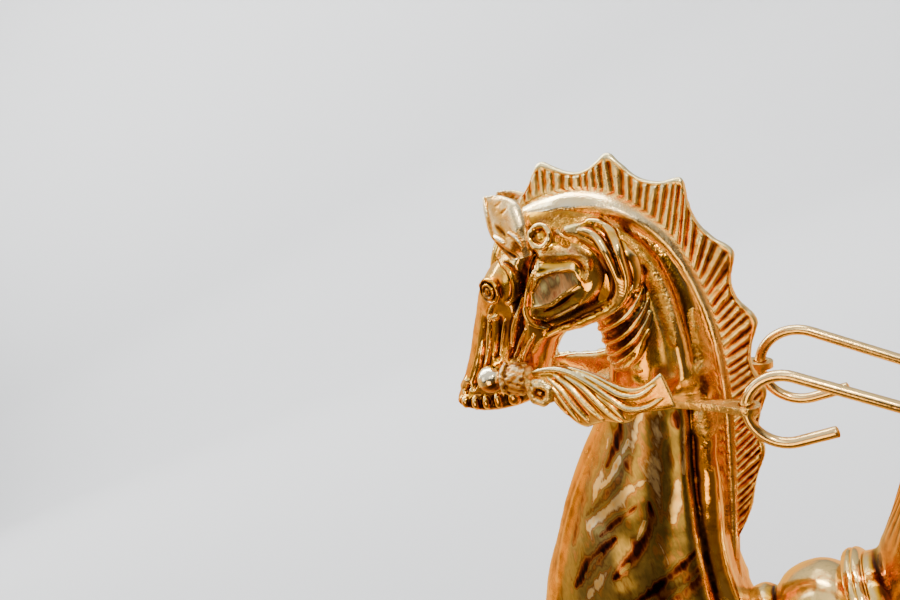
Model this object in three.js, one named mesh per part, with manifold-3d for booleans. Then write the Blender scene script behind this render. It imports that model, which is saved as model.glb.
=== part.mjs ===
// A gondola's seahorse ornament in gilt brass: horse's head on an arched, finned neck, a bridle whose
// two rein rods hook through the neck band, and a turned tail with a fan, on a moulded foot.
// Millimetres, +Z up. The horse faces -X, its near side is -Y, and the foot stands on Z = 0.
import * as THREE from 'three';
import { mergeVertices } from 'three/addons/utils/BufferGeometryUtils.js';
import Module from 'manifold-3d';

const wasm = await Module();
wasm.setup();

// Driving dimensions
const GAP = 0.3;             // running gap between castings that touch
const FOOT_FRONT = -108;     // foot's reach forward of the origin
const FOOT_REAR = 100;
const FOOT_HALF_WIDTH = 39;
const FOOT_HEIGHT = 25;
const TAIL_AXIS_Z = 56;      // height of the turned tail piece's axis
const ROD_DIAMETER = 5.5;
const ROD_SIDE_Y = 31;       // each rein rod's plane
const EYE = [76.9, 187.6];   // where both rods pass through the neck band, as x, z
const EYE_RADIUS = 6.8;
const EYE_HOLE_RADIUS = 3.6;
const BAND_SLOPE = THREE.MathUtils.degToRad(20.5);  // the neck band falls towards the tail
const BAND_THICKNESS = 3.5;
const FIN_THICKNESS = 5;
const LEG_END = [152.5, 158];  // where the rods' long legs lie over the fan's rim, as x, z

// Each rein rod's hand-bent hook. Columns: name, side, radius
const HOOKS = [
  ['left', -1, 16.9],
  ['right', 1, 19.4],
];

const brass = (name, colour, roughness) => {
  const material = new THREE.MeshStandardMaterial({ color: colour, roughness, metalness: 1 });
  material.name = name;
  return material;
};
const polishedBrass = () => brass('polished gilt brass', 0xd6a03c, 0.16);
const wornBrass = () => brass('worn gilt brass', 0xc08a34, 0.34);
const rodBrass = () => brass('drawn brass rod', 0xcfa860, 0.22);

// Solids from meshes, and back
const toSolid = (geometry) => {
  const bare = geometry.clone();
  bare.deleteAttribute('normal');
  bare.deleteAttribute('uv');
  const merged = mergeVertices(bare, 1e-4);
  const mesh = new wasm.Mesh({
    numProp: 3,
    vertProperties: new Float32Array(merged.attributes.position.array),
    triVerts: new Uint32Array(merged.index.array),
  });
  return new wasm.Manifold(mesh);
};
const largest = (solid) => solid.decompose().sort((a, b) => b.volume() - a.volume())[0];
const toMesh = (name, solid, material) => {
  const { vertProperties, triVerts } = largest(solid).getMesh();
  const geometry = new THREE.BufferGeometry();
  geometry.setAttribute('position', new THREE.Float32BufferAttribute(vertProperties, 3));
  geometry.setIndex(Array.from(triVerts));
  geometry.computeVertexNormals();
  const mesh = new THREE.Mesh(geometry, material);
  mesh.name = name;
  return mesh;
};

// A closed body through rings of equal count, each an array of Vector3, capped flat at both ends
const loft = (rings) => {
  const count = rings[0].length;
  const points = rings.flat();
  const faces = [];
  for (let i = 0; i + 1 < rings.length; i += 1) {
    for (let j = 0; j < count; j += 1) {
      const k = (j + 1) % count;
      const [a, b, c, d] = [i * count + j, i * count + k, (i + 1) * count + k, (i + 1) * count + j];
      faces.push(a, b, c, a, c, d);
    }
  }
  const cap = (ring, offset, turned) => {
    const centre = ring.reduce((sum, p) => sum.add(p), new THREE.Vector3()).divideScalar(count);
    points.push(centre);
    const hub = points.length - 1;
    for (let j = 0; j < count; j += 1) {
      const k = (j + 1) % count;
      faces.push(hub, offset + (turned ? j : k), offset + (turned ? k : j));
    }
  };
  cap(rings[0], 0, false);
  cap(rings[rings.length - 1], (rings.length - 1) * count, true);
  const geometry = new THREE.BufferGeometry().setFromPoints(points);
  geometry.setIndex(faces);
  const solid = toSolid(geometry);
  if (solid.volume() > 0) return solid;
  for (let i = 0; i < faces.length; i += 3) [faces[i], faces[i + 1]] = [faces[i + 1], faces[i]];
  geometry.setIndex(faces);
  return toSolid(geometry);
};

const rounded = (value, power) => Math.sign(value) * Math.abs(value) ** power;

// A rounded ring across the body from its front point to its back point, both [x, z]
const crossRing = ([fx, fz], [bx, bz], halfWidth, { sides = 20, power = 1, grow = 0, y = 0 } = {}) => {
  const length = Math.hypot(bx - fx, bz - fz);
  const [ux, uz] = [(bx - fx) / length, (bz - fz) / length];
  const ring = [];
  for (let j = 0; j < sides; j += 1) {
    const angle = 2 * Math.PI * j / sides;
    const along = rounded(Math.cos(angle), power) * (length / 2 + grow);
    const across = rounded(Math.sin(angle), power) * (halfWidth + grow);
    ring.push(new THREE.Vector3((fx + bx) / 2 + ux * along, y + across, (fz + bz) / 2 + uz * along));
  }
  return ring;
};

// A raised cord along [x, z, distance out from the middle plane], thinner at its two ends
const cord = (points, radius, side, grow) => loft(points.map(([x, z, out], i) => {
  const last = points.length - 1;
  const before = points[Math.max(i - 1, 0)];
  const after = points[Math.min(i + 1, last)];
  const length = Math.hypot(after[0] - before[0], after[1] - before[1]);
  const size = (i === 0 || i === last ? radius / 2 : radius) + grow;
  const [nx, nz] = [-(after[1] - before[1]) / length * size, (after[0] - before[0]) / length * size];
  return crossRing([x - nx, z - nz], [x + nx, z + nz], size, { sides: 8, y: side * out });
}));
const withCords = (body, cords, grow) => {
  let joined = body;
  for (const side of [-1, 1]) {
    for (const [radius, ...points] of cords) joined = joined.add(cord(points, radius, side, grow));
  }
  return joined;
};

// Gill-like ribs on the throat, each a cord. Columns: radius, then front, middle and rear as x, z, out
const GILL_RIBS = [
  [1.9, [16.5, 250, 12], [31, 250.5, 17], [43, 257, 17.5]],
  [1.9, [16.5, 245.5, 12.5], [32, 245.5, 18.5], [48, 256.5, 18.5]],
  [1.9, [16.5, 240.5, 13], [33, 240.5, 19.5], [50, 252.5, 19.3]],
  [1.9, [16.5, 235.5, 13.5], [34, 235.5, 20.5], [51, 247, 20]],
  [1.9, [17, 230.5, 14.5], [34, 230.5, 21.5], [50, 242, 21.3]],
];

// Columns: front x, front z, back x, back z, half width
const NECK_SECTIONS = [
  [-10, 303, 2, 319, 9],
  [0, 285, 25, 314, 14],
  [12, 268, 42.5, 303, 15.5],
  [16, 254, 56, 286, 17],
  [16, 245, 65, 267.5, 18.5],
  [15, 236, 68, 248, 20],
  [12.5, 224, 67.5, 226, 22.5],
  [5, 211, 63.5, 205, 24.5],
  [-6, 200, 58, 184, 26.5],
  [-20, 186, 50.5, 163, 29],
  [-43.5, 162, 40.5, 137, 32],
  [-68, 132, 32, 115, 35],
  [-86.5, 107, 27, 97, 37],
  [-99.5, 82, 25, 81, 38],
  [-105, 60, 27, 60, 37],
  [-103, 42, 28, 42, 34],
  [-95, FOOT_HEIGHT + GAP, 28, FOOT_HEIGHT + GAP, 29],
];
const UNDER_CREST = 2.6;     // how far the neck's back reaches in behind the crest bead
const neckSolid = (grow) => withCords(loft(NECK_SECTIONS.map(([fx, fz, bx, bz, halfWidth]) => {
  const stretch = 1 + UNDER_CREST / Math.hypot(bx - fx, bz - fz);
  const back = [fx + (bx - fx) * stretch, fz + (bz - fz) * stretch];
  return crossRing([fx, fz], back, halfWidth, { sides: 24, power: 0.86, grow });
})), GILL_RIBS, grow);

// A turned piece: its profile is [along, radius], its axis starts at a point and runs in a direction
const turned = (profile, start, direction, { sides = 24, grow = 0 } = {}) => {
  const first = profile[0][0];
  const last = profile[profile.length - 1][0];
  const geometry = new THREE.LatheGeometry(profile.map(([along, radius]) => new THREE.Vector2(
    radius > 0 ? radius + grow : 0,
    along + (along === first ? -grow : 0) + (along === last ? grow : 0),
  )), sides);
  const turn = new THREE.Quaternion().setFromUnitVectors(new THREE.Vector3(0, 1, 0), direction.normalize());
  geometry.applyQuaternion(turn);
  geometry.translate(start.x, start.y, start.z);
  const solid = toSolid(geometry);
  if (solid.volume() > 0) return solid;
  const index = Array.from(geometry.index.array);
  for (let i = 0; i < index.length; i += 3) [index[i], index[i + 1]] = [index[i + 1], index[i]];
  geometry.setIndex(index);
  return toSolid(geometry);
};

// Columns: face x, face z, jaw x, jaw z, half width, power of the rounding (less is squarer)
const HEAD_SECTIONS = [
  [42, 301, 50, 288, 15, 0.6],
  [26, 304, 54, 275, 20, 0.55],
  [9, 305, 51, 260, 21, 0.55],
  [-8, 303, 40, 251, 21.5, 0.6],
  [-22, 298.5, 18, 248, 21, 0.7],
  [-36, 290, -4, 247.5, 18.5, 0.8],
  [-47, 277, -15.5, 239, 15, 0.85],
  [-57, 264, -24.5, 229.5, 12, 0.85],
  [-68, 250, -33, 222, 11, 0.85],
  [-79, 238, -43, 217, 11.5, 0.85],
  [-87, 231.5, -56, 216, 11.5, 0.85],
  [-87.5, 227, -70, 219, 8.5, 0.9],
  [-85, 224, -78, 221.5, 4, 1],
];
// The jowl's two crescents, its rim and the cheek's front ridge, as the gill ribs are listed
const JOWL_CORDS = [
  [3, [34, 301, 17.5], [43, 297, 18.5], [48, 289.5, 19], [49.5, 280, 19], [47.5, 269.5, 19.3], [42, 261, 19]],
  [2.5, [31, 297, 19], [37.5, 293, 20.3], [41.5, 286, 21], [43, 278, 21], [41.5, 268, 21], [34, 260, 20.5]],
  [1.9, [44, 262, 19], [33, 255.5, 20], [21, 253.8, 20.3], [6, 253.8, 20.2], [-10, 252.8, 18.8]],
  [1.7, [5, 288, 20.7], [-7, 283, 20.6], [-12, 269, 20.4], [-20, 259, 19], [-34, 247, 15]],
];
const EYE_BOSS = [-31.5, 286, 13.5];   // x, z, distance out
const EYE_BOSS_RADIUS = 5.2;
const BROW_ROSETTE = [13, 302, 17];
const BROW_ROSETTE_PROFILE = [[0, 0], [0, 5.6], [1.6, 5.6], [2.6, 4], [2.8, 0]];
const headSolid = (grow) => {
  let head = withCords(loft(HEAD_SECTIONS.map(([fx, fz, jx, jz, halfWidth, power]) => (
    crossRing([fx, fz], [jx, jz], halfWidth, { sides: 20, power, grow })
  ))), JOWL_CORDS, grow);
  for (const side of [-1, 1]) {
    const boss = new THREE.SphereGeometry(EYE_BOSS_RADIUS + grow, 14, 10);
    boss.translate(EYE_BOSS[0], side * EYE_BOSS[2], EYE_BOSS[1]);
    const place = new THREE.Vector3(BROW_ROSETTE[0], side * BROW_ROSETTE[2], BROW_ROSETTE[1]);
    const outward = new THREE.Vector3(0, side, 0);
    const rosette = turned(BROW_ROSETTE_PROFILE, place, outward, { sides: 14, grow });
    head = head.add(toSolid(boss)).add(rosette);
  }
  return head;
};

// Columns: x, z, half width across, half thickness
const CREST_STATIONS = [
  [-3, 319.5, 5, 3.5],
  [3.4, 321, 6.5, 4.4],
  [26.7, 316.5, 7, 4.8],
  [45.6, 306, 6, 4.4],
  [60.4, 288.7, 5, 3.7],
  [69.4, 269.7, 3.8, 3.4],
  [72.5, 248.6, 3.6, 3.4],
  [71.7, 226.2, 3.4, 3.4],
  [67.6, 204.7, 3.2, 3.2],
  [61.6, 183.4, 3, 3],
  [54, 162.1, 3, 3],
  [43.4, 135, 3, 3],
  [34, 112, 3, 3],
  [27.3, 95, 3, 3],
  [24.5, 84, 2.6, 2.6],
];
const crestSolid = (grow) => {
  const path = new THREE.CatmullRomCurve3(CREST_STATIONS.map(([x, z]) => new THREE.Vector3(x, 0, z)));
  return loft(CREST_STATIONS.map(([x, z, halfWidth, halfThickness], i) => {
    const tangent = path.getTangent(i / (CREST_STATIONS.length - 1));
    const [nx, nz] = [-tangent.z, tangent.x];
    const [stepX, stepZ] = [nx * halfThickness, nz * halfThickness];
    return crossRing([x - stepX, z - stepZ], [x + stepX, z + stepZ], halfWidth, { sides: 10, grow });
  }));
};

// The mane fin's teeth, from the poll down to the tail. Columns: tip x, tip z, following valley x, valley z
const FIN_TEETH = [
  [25, 337, 41, 323.4],
  [60, 325.5, 71, 304.8],
  [88.5, 297.5, 85.5, 275],
  [95.5, 252.5, 86.8, 237.5],
  [91.5, 217, 80.4, 200],
  [80.9, 180.5, 69.6, 165.2],
  [67.5, 150.8, 57.5, 138],
  [48.9, 124.5, 43, 116.2],
];
const FIN_START = [3.5, 325.5];
const FIN_FIRST_DIP = [12.5, 329];
const FIN_END = [36.5, 110.5];
const finShape = () => {
  const shape = new THREE.Shape();
  shape.moveTo(...FIN_START);
  const scallopTo = ([endX, endZ], [dipX, dipZ]) => {
    const from = shape.currentPoint;
    shape.quadraticCurveTo(2 * dipX - (from.x + endX) / 2, 2 * dipZ - (from.y + endZ) / 2, endX, endZ);
  };
  scallopTo(FIN_TEETH[0], FIN_FIRST_DIP);
  FIN_TEETH.forEach(([, , dipX, dipZ], i) => scallopTo(FIN_TEETH[i + 1] ?? FIN_END, [dipX, dipZ]));
  CREST_STATIONS.slice(1, -1).reverse().forEach(([x, z]) => shape.lineTo(x, z));
  return shape;
};
// A flat plate standing in the XZ plane, its shape drawn as x, z
const plate = (shape, thickness, y) => {
  const geometry = new THREE.ExtrudeGeometry(shape, {
    depth: thickness, bevelEnabled: false, steps: 1, curveSegments: 6,
  });
  geometry.rotateX(Math.PI / 2);
  geometry.translate(0, y + thickness / 2, 0);
  return toSolid(geometry);
};

// Columns: x, z, half length along the ear's width, half thickness, distance out from the middle plane
const EAR_SECTIONS = [
  [-1, 301, 8, 4.5, 12],
  [-2, 309, 8.5, 5, 12.5],
  [-3.5, 318, 7.5, 4.5, 12.5],
  [-6.5, 327, 4.5, 3, 11.5],
  [-9.5, 333.5, 1.4, 1.2, 10.5],
];
const earSolid = (side) => loft(EAR_SECTIONS.map(([x, z, halfLength, halfThickness, y]) => (
  crossRing([x - halfLength, z - 2], [x + halfLength, z + 2], halfThickness, { sides: 12, y: side * y })
)));

// Columns: x of its middle, z, half depth, half width
const FORELOCK_SECTIONS = [
  [-6, 314, 3, 4],
  [-12, 308, 6, 6.5],
  [-20, 301, 6, 6.5],
  [-29, 296, 3.5, 4.5],
];
const forelockSolid = () => loft(FORELOCK_SECTIONS.map(([x, z, halfDepth, halfWidth]) => (
  crossRing([x - halfDepth, z + halfDepth], [x + halfDepth, z - halfDepth], halfWidth, { sides: 12 })
)));

// The bit's end: boss, collar and ball in one line, running forward and up beside the muzzle
const BIT_PROFILE = [
  [0, 0], [0, 4], [2, 7], [5, 8.2], [8, 7.8], [10, 6], [11, 8], [12, 8.8], [14, 8.8], [15, 8], [16, 5],
  [18.7, 4], [20, 5.2], [22.5, 6.9], [26, 7.6], [29.5, 6.9], [32, 4.8], [33.5, 0],
];
const BIT_START = [-26.7, 233.7];
const BIT_SIDE_Y = 20;
const BIT_DIRECTION = [-0.933, 0.359];
const bitSolid = (side, grow) => turned(BIT_PROFILE,
  new THREE.Vector3(BIT_START[0], side * BIT_SIDE_Y, BIT_START[1]),
  new THREE.Vector3(BIT_DIRECTION[0], 0, BIT_DIRECTION[1]), { sides: 16, grow });

const KNOB_PROFILE = [[0, 0], [0, 4.5], [2.5, 5.6], [4.5, 5], [6, 3.2], [6.6, 0]];
const KNOB_PLACE = [-23, 17.5, 225.4];
const knobSolid = (side, grow) => turned(KNOB_PROFILE,
  new THREE.Vector3(KNOB_PLACE[0], side * KNOB_PLACE[1], KNOB_PLACE[2]),
  new THREE.Vector3(0, side, 0), { sides: 14, grow });

// The rein's leaf. Columns: x, left leaf's top z, right leaf's top z, bottom z, distance out, half thickness
const FROND_SECTIONS = [
  [-26, 237.5, 233, 229, 18.5, 2],
  [-20, 237, 232, 222, 19.5, 2.4],
  [-15, 236.7, 230.8, 207, 20.6, 2.6],
  [-9, 236, 228.5, 199.5, 21.8, 2.8],
  [-1, 233.7, 226, 199.3, 23.8, 2.8],
  [7, 230, 225, 199.5, 26.3, 2.8],
  [13, 226, 223, 197.8, 28.2, 2.8],
  [20, 219.8, 219, 197, 30, 2.8],
  [26, 215.5, 215.5, 200, 31, 2.8],
  [33, 213.5, 213.5, 199.8, 31.5, 2.6],
  [40, 214.8, 214.8, 198.5, 31.8, 2.4],
  [46, 217, 217, 198, 31.9, 1.6],
];
// Its ribs fan out from the knob. Columns: radius, then points as x, z, distance out
const FROND_RIBS = [
  [1.5, [-10, 226, 23.6], [2, 225.5, 26.6], [13, 219, 30.3], [23, 212, 33], [40, 211, 34]],
  [1.4, [-9, 224, 24], [2, 219, 26.8], [12, 211, 30], [26, 205.5, 33.2], [40, 206, 34]],
  [1.3, [-11, 224, 23.4], [-3, 218, 25.4], [4, 210, 27.3], [11, 202, 29.5]],
  [1.3, [-13, 222, 22.8], [-8, 214, 24], [-2, 204, 25.6]],
];
const frondSolid = (side) => {
  let frond = loft(FROND_SECTIONS.map(([x, leftTop, rightTop, bottom, out, halfThickness]) => (
    crossRing([x, bottom], [x, side < 0 ? leftTop : rightTop], halfThickness,
      { sides: 14, power: 0.6, y: side * out })
  )));
  for (const [radius, ...points] of FROND_RIBS) frond = frond.add(cord(points, radius, side, 0));
  return frond;
};

// The neck band lies in a plane through the rods' eyes; its plan is drawn as distance aft of the eyes, y
const inBandPlane = (shape, thickness, holeSegments = 12) => {
  const geometry = new THREE.ExtrudeGeometry(shape, {
    depth: thickness, bevelEnabled: false, steps: 1, curveSegments: holeSegments,
  });
  geometry.translate(0, 0, -thickness / 2);
  geometry.rotateY(BAND_SLOPE);
  geometry.translate(EYE[0], 0, EYE[1]);
  return toSolid(geometry);
};
const RING_MIDDLE = -45;     // band's ring, from the eyes towards the horse's throat
const RING_HALF_LENGTH = 39;
const RING_HALF_WIDTH = 31;
const bandSolid = (grow) => {
  const thickness = BAND_THICKNESS + 2 * grow;
  const ring = new THREE.Shape();
  ring.absellipse(RING_MIDDLE, 0, RING_HALF_LENGTH + grow, RING_HALF_WIDTH + grow, 0, 2 * Math.PI);
  let band = inBandPlane(ring, thickness, 20);
  for (const side of [-1, 1]) {
    const arm = new THREE.Shape([
      new THREE.Vector2(-45, side * 23),
      new THREE.Vector2(-45, side * (31 + grow)),
      new THREE.Vector2(-16, side * (33 + grow)),
      new THREE.Vector2(0, side * (ROD_SIDE_Y + EYE_RADIUS + grow)),
      new THREE.Vector2(0, side * (ROD_SIDE_Y - EYE_RADIUS)),
      new THREE.Vector2(-14, side * 26.5),
    ]);
    const eye = new THREE.Shape();
    eye.absarc(0, side * ROD_SIDE_Y, EYE_RADIUS + grow, 0, 2 * Math.PI);
    band = band.add(inBandPlane(arm, thickness)).add(inBandPlane(eye, thickness, 10));
  }
  return band;
};
const bandOpenings = () => {
  const behindCrest = new THREE.Shape([
    new THREE.Vector2(-22, -24),
    new THREE.Vector2(60, -24),
    new THREE.Vector2(60, 24),
    new THREE.Vector2(-22, 24),
  ]);
  let openings = inBandPlane(behindCrest, 4 * BAND_THICKNESS);
  for (const side of [-1, 1]) {
    const hole = new THREE.Shape();
    hole.absarc(0, side * ROD_SIDE_Y, EYE_HOLE_RADIUS, 0, 2 * Math.PI);
    openings = openings.add(inBandPlane(hole, 4 * BAND_THICKNESS, 10));
  }
  return openings;
};

// A rein rod: its short leg's cut end, the open hook, the long leg down to the fan, and a turned-over end
const SHORT_LEG = 17.5;
const END_CURL_RADIUS = 6.5;
const END_CURL_ANGLE = THREE.MathUtils.degToRad(115);
const rodPoints = (radius) => {
  const [centreX, centreZ] = [EYE[0] + radius * Math.cos(BAND_SLOPE), EYE[1] - radius * Math.sin(BAND_SLOPE)];
  const arcPoint = (x, z, size, angle) => [x + size * Math.cos(angle), z + size * Math.sin(angle)];
  const [acrossX, downZ] = [LEG_END[0] - centreX, centreZ - LEG_END[1]];
  const slope = Math.atan2(downZ, acrossX) + Math.asin(radius / Math.hypot(acrossX, downZ));
  const points = [[centreX + SHORT_LEG, centreZ - radius], [centreX + SHORT_LEG / 2, centreZ - radius]];
  const hookSteps = 16;
  for (let i = 0; i <= hookSteps; i += 1) {
    points.push(arcPoint(centreX, centreZ, radius, 3 * Math.PI / 2 - (Math.PI + slope) * i / hookSteps));
  }
  const [legX, legZ] = points[points.length - 1];
  const legSteps = 4;
  for (let i = 1; i <= legSteps; i += 1) {
    points.push([legX + (LEG_END[0] - legX) * i / legSteps, legZ + (LEG_END[1] - legZ) * i / legSteps]);
  }
  const [curlX, curlZ] = arcPoint(LEG_END[0], LEG_END[1], END_CURL_RADIUS, -Math.PI / 2 - slope);
  const curlSteps = 6;
  for (let i = 1; i <= curlSteps; i += 1) {
    const angle = Math.PI / 2 - slope - END_CURL_ANGLE * i / curlSteps;
    points.push(arcPoint(curlX, curlZ, END_CURL_RADIUS, angle));
  }
  return points;
};
const rodSolid = (side, hookRadius) => {
  const points = rodPoints(hookRadius);
  const radius = ROD_DIAMETER / 2;
  return loft(points.map(([x, z], i) => {
    const before = points[Math.max(i - 1, 0)];
    const after = points[Math.min(i + 1, points.length - 1)];
    const length = Math.hypot(after[0] - before[0], after[1] - before[1]);
    const [nx, nz] = [-(after[1] - before[1]) / length, (after[0] - before[0]) / length];
    return crossRing([x - nx * radius, z - nz * radius], [x + nx * radius, z + nz * radius], radius,
      { sides: 12, y: side * ROD_SIDE_Y });
  }));
};

// The tail's turned mouldings, as distance along +X and radius
const TAIL_STEM_PROFILE = [
  [22, 0], [22, 16], [26, 18.6], [30, 20.2], [34.5, 20.6], [38, 19], [40, 18], [43, 20], [47, 23.5],
  [53, 26.4], [60, 28], [67, 28.1], [73, 26.2], [77, 23.5], [78, 22], [78, 0],
];
const TAIL_RING_PROFILE = [
  [78 + GAP, 0], [78 + GAP, 27], [79.5, 29.4], [82, 30.5], [85.5, 30.5], [88, 29.2], [89, 27], [89, 0],
];
const alongTail = (profile, grow) => turned(
  profile, new THREE.Vector3(0, 0, TAIL_AXIS_Z), new THREE.Vector3(1, 0, 0), { sides: 28, grow },
);

// The fan. Columns: front x, front z, rear x, rear z, half width, how far its sides sweep forward
const FAN_SECTIONS = [
  [89 + GAP, 83.5, 89 + GAP, 28.5, 27.5, 0],
  [95, 84, 95, 28.5, 27.5, 0],
  [101, 90.5, 107, 35, 28, 0],
  [108, 99.5, 121, 54, 30, 1],
  [116, 110, 132, 81, 33, 3],
  [125, 122, 139, 106, 37.5, 5],
  [135, 136, 145.5, 127, 42.5, 7],
  [143.5, 148, 151, 142, 46.5, 8],
  [147.5, 154, 153.5, 149, 48, 8],
];
const fanSolid = () => loft(FAN_SECTIONS.map(([fx, fz, rx, rz, halfWidth, sweep]) => {
  const thickness = Math.hypot(rx - fx, rz - fz);
  const [ux, uz] = [(rx - fx) / thickness, (rz - fz) / thickness];
  const ring = [];
  const sides = 28;
  for (let j = 0; j < sides; j += 1) {
    const angle = 2 * Math.PI * j / sides;
    const y = halfWidth * Math.cos(angle);
    const out = thickness / 2 * Math.sin(angle) - sweep * (y / halfWidth) ** 2;
    ring.push(new THREE.Vector3((fx + rx) / 2 + ux * out, y, (fz + rz) / 2 + uz * out));
  }
  return ring;
}));

// Foot profile. Columns: z, inset from the foot's outline
const FOOT_PROFILE = [
  [0, 0], [6, 0], [7.5, 1.5], [9, 4], [11, 5], [14, 3.2], [17, 3], [20, 4.4], [22, 7],
  [FOOT_HEIGHT, 8],
];
const footSolid = () => {
  const arcSteps = 12;
  const ends = [
    [FOOT_REAR - FOOT_HALF_WIDTH, -Math.PI / 2],
    [FOOT_FRONT + FOOT_HALF_WIDTH, Math.PI / 2],
  ];
  return loft(FOOT_PROFILE.map(([z, inset]) => {
    const radius = FOOT_HALF_WIDTH - inset;
    const ring = [];
    for (const [middle, startAngle] of ends) {
      for (let j = 0; j <= arcSteps; j += 1) {
        const angle = startAngle + Math.PI * j / arcSteps;
        ring.push(new THREE.Vector3(middle + radius * Math.cos(angle), radius * Math.sin(angle), z));
      }
    }
    return ring;
  }));
};

const assemble = () => {
  const group = new THREE.Group();
  const add = (name, solid, material) => group.add(toMesh(name, solid, material));
  const neck = neckSolid(0)
    .subtract(headSolid(GAP))
    .subtract(crestSolid(GAP))
    .subtract(alongTail(TAIL_STEM_PROFILE, GAP));
  const rivals = headSolid(GAP).add(neckSolid(GAP));
  const forelock = forelockSolid().subtract(rivals).subtract(crestSolid(GAP));
  const fin = plate(finShape(), FIN_THICKNESS, 0).subtract(crestSolid(GAP)).subtract(neckSolid(GAP));
  const band = bandSolid(0).subtract(neckSolid(GAP)).subtract(bandOpenings());
  add('foot', footSolid(), wornBrass());
  add('neck_and_chest', neck, polishedBrass());
  add('head', headSolid(0), polishedBrass());
  add('crest_bead', crestSolid(0), polishedBrass());
  add('mane_fin', fin, wornBrass());
  add('forelock', forelock, wornBrass());
  add('neck_band', band, polishedBrass());
  add('tail_stem', alongTail(TAIL_STEM_PROFILE, 0), polishedBrass());
  add('tail_ring', alongTail(TAIL_RING_PROFILE, 0), polishedBrass());
  add('tail_fan', fanSolid(), polishedBrass());
  for (const [label, side, hookRadius] of HOOKS) {
    add(`ear_${label}`, earSolid(side).subtract(rivals), polishedBrass());
    const bit = bitSolid(side, 0).subtract(rivals);
    const knob = knobSolid(side, 0).subtract(rivals).subtract(bitSolid(side, GAP));
    const frond = frondSolid(side).subtract(rivals).subtract(bandSolid(GAP))
      .subtract(bitSolid(side, GAP)).subtract(knobSolid(side, GAP));
    add(`bit_end_${label}`, bit, polishedBrass());
    add(`rein_knob_${label}`, knob, polishedBrass());
    add(`rein_frond_${label}`, frond, wornBrass());
    add(`rein_rod_${label}`, rodSolid(side, hookRadius), rodBrass());
  }
  return group;
};

export default assemble();
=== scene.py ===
import math
import bpy
import numpy as np
from mathutils import Matrix, Vector


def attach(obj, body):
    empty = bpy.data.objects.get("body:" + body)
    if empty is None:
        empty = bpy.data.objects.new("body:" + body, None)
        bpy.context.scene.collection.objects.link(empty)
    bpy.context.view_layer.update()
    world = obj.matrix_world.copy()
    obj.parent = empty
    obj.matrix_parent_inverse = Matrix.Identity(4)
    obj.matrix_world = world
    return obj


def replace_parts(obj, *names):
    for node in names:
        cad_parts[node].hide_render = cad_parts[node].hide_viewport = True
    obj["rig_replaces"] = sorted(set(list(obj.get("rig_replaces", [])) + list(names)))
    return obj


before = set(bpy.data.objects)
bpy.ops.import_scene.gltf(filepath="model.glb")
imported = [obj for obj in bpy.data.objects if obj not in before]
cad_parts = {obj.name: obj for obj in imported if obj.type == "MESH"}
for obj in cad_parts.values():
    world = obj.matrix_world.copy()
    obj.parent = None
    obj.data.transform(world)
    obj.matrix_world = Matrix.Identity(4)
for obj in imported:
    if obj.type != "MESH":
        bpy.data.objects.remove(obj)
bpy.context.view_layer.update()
mm = 0.001
seamGap = 2e-6     # metres
sides = {"left": -1, "right": 1}     # the left rein is the near one

# picking, reading and shaping meshes, in millimetres


def deselectAll():
    if bpy.context.object and bpy.context.object.mode != "OBJECT":
        bpy.ops.object.mode_set(mode="OBJECT")
    bpy.ops.object.select_all(action="DESELECT")


def pick(piece):
    deselectAll()
    piece.select_set(True)
    bpy.context.view_layer.objects.active = piece


def editAll():
    bpy.ops.object.mode_set(mode="EDIT")
    bpy.ops.mesh.select_all(action="SELECT")


# a mesh's points in millimetres
def pointsOf(piece):
    flat = np.empty(len(piece.data.vertices) * 3)
    piece.data.vertices.foreach_get("co", flat)
    return flat.reshape(-1, 3) / mm


def setPoints(piece, points):
    piece.data.vertices.foreach_set("co", (np.asarray(points) * mm).ravel())
    piece.data.update()


def normalsOf(piece):
    flat = np.empty(len(piece.data.vertices) * 3)
    piece.data.vertex_normals.foreach_get("vector", flat)
    return flat.reshape(-1, 3)


# how far along a path each of its points lies
def runAlong(path):
    return np.concatenate([[0], np.cumsum(np.linalg.norm(np.diff(path, axis=0), axis=1))])


# rows of a table carried along one smooth curve; spacing is by the distance between the rows' own places
def smoothRows(table, count, place=None, crowd=0):
    table = np.array(table, float)
    at = table if place is None else place(table)
    run = runAlong(at)
    slope = np.gradient(table, run, axis=0)
    even = np.linspace(0, 1, count)
    want = run[-1] * ((1 - crowd) * even + crowd * even**2)     # crowded towards the first row
    i = np.clip(np.searchsorted(run, want, side="right") - 1, 0, len(run) - 2)
    span = (run[i + 1] - run[i])[:, None]
    t = ((want - run[i]) / span[:, 0])[:, None]
    return ((2 * t**3 - 3 * t**2 + 1) * table[i] + (t**3 - 2 * t**2 + t) * span * slope[i]
            + (3 * t**2 - 2 * t**3) * table[i + 1] + (t**3 - t**2) * span * slope[i + 1])


# where rows of x, z, x, z lie: half way between the two, or at the first
def middles(rows):
    return (rows[:, :2] + rows[:, 2:4]) / 2


def firsts(rows):
    return rows[:, :2]


def smoothPath(path, step=1.5):
    return smoothRows(path, max(3, int(runAlong(path)[-1] / step)))


# one closed ring of even steps
def evenRing(ring, count):
    run = runAlong(ring)
    want = np.linspace(0, run[-1], count + 1)
    return np.stack([np.interp(want, run, ring[:, k]) for k in range(3)], axis=1)


# rounded rings across a body, from rows of front x, z, back x, z, half width, power
def crossRings(rows, count, y=None):
    angle = np.linspace(0, 2 * math.pi, 721)
    cosine, sine = np.cos(angle), np.sin(angle)
    rings = []
    for i, (frontX, frontZ, backX, backZ, halfWidth, power) in enumerate(rows):
        along = np.sign(cosine) * np.abs(cosine) ** power
        across = np.sign(sine) * np.abs(sine) ** power
        ring = np.stack([(frontX + backX) / 2 + (backX - frontX) / 2 * along,
                         halfWidth * across + (0 if y is None else y[i]),
                         (frontZ + backZ) / 2 + (backZ - frontZ) / 2 * along], axis=1)
        rings.append(evenRing(ring, count))
    return np.array(rings)


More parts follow.
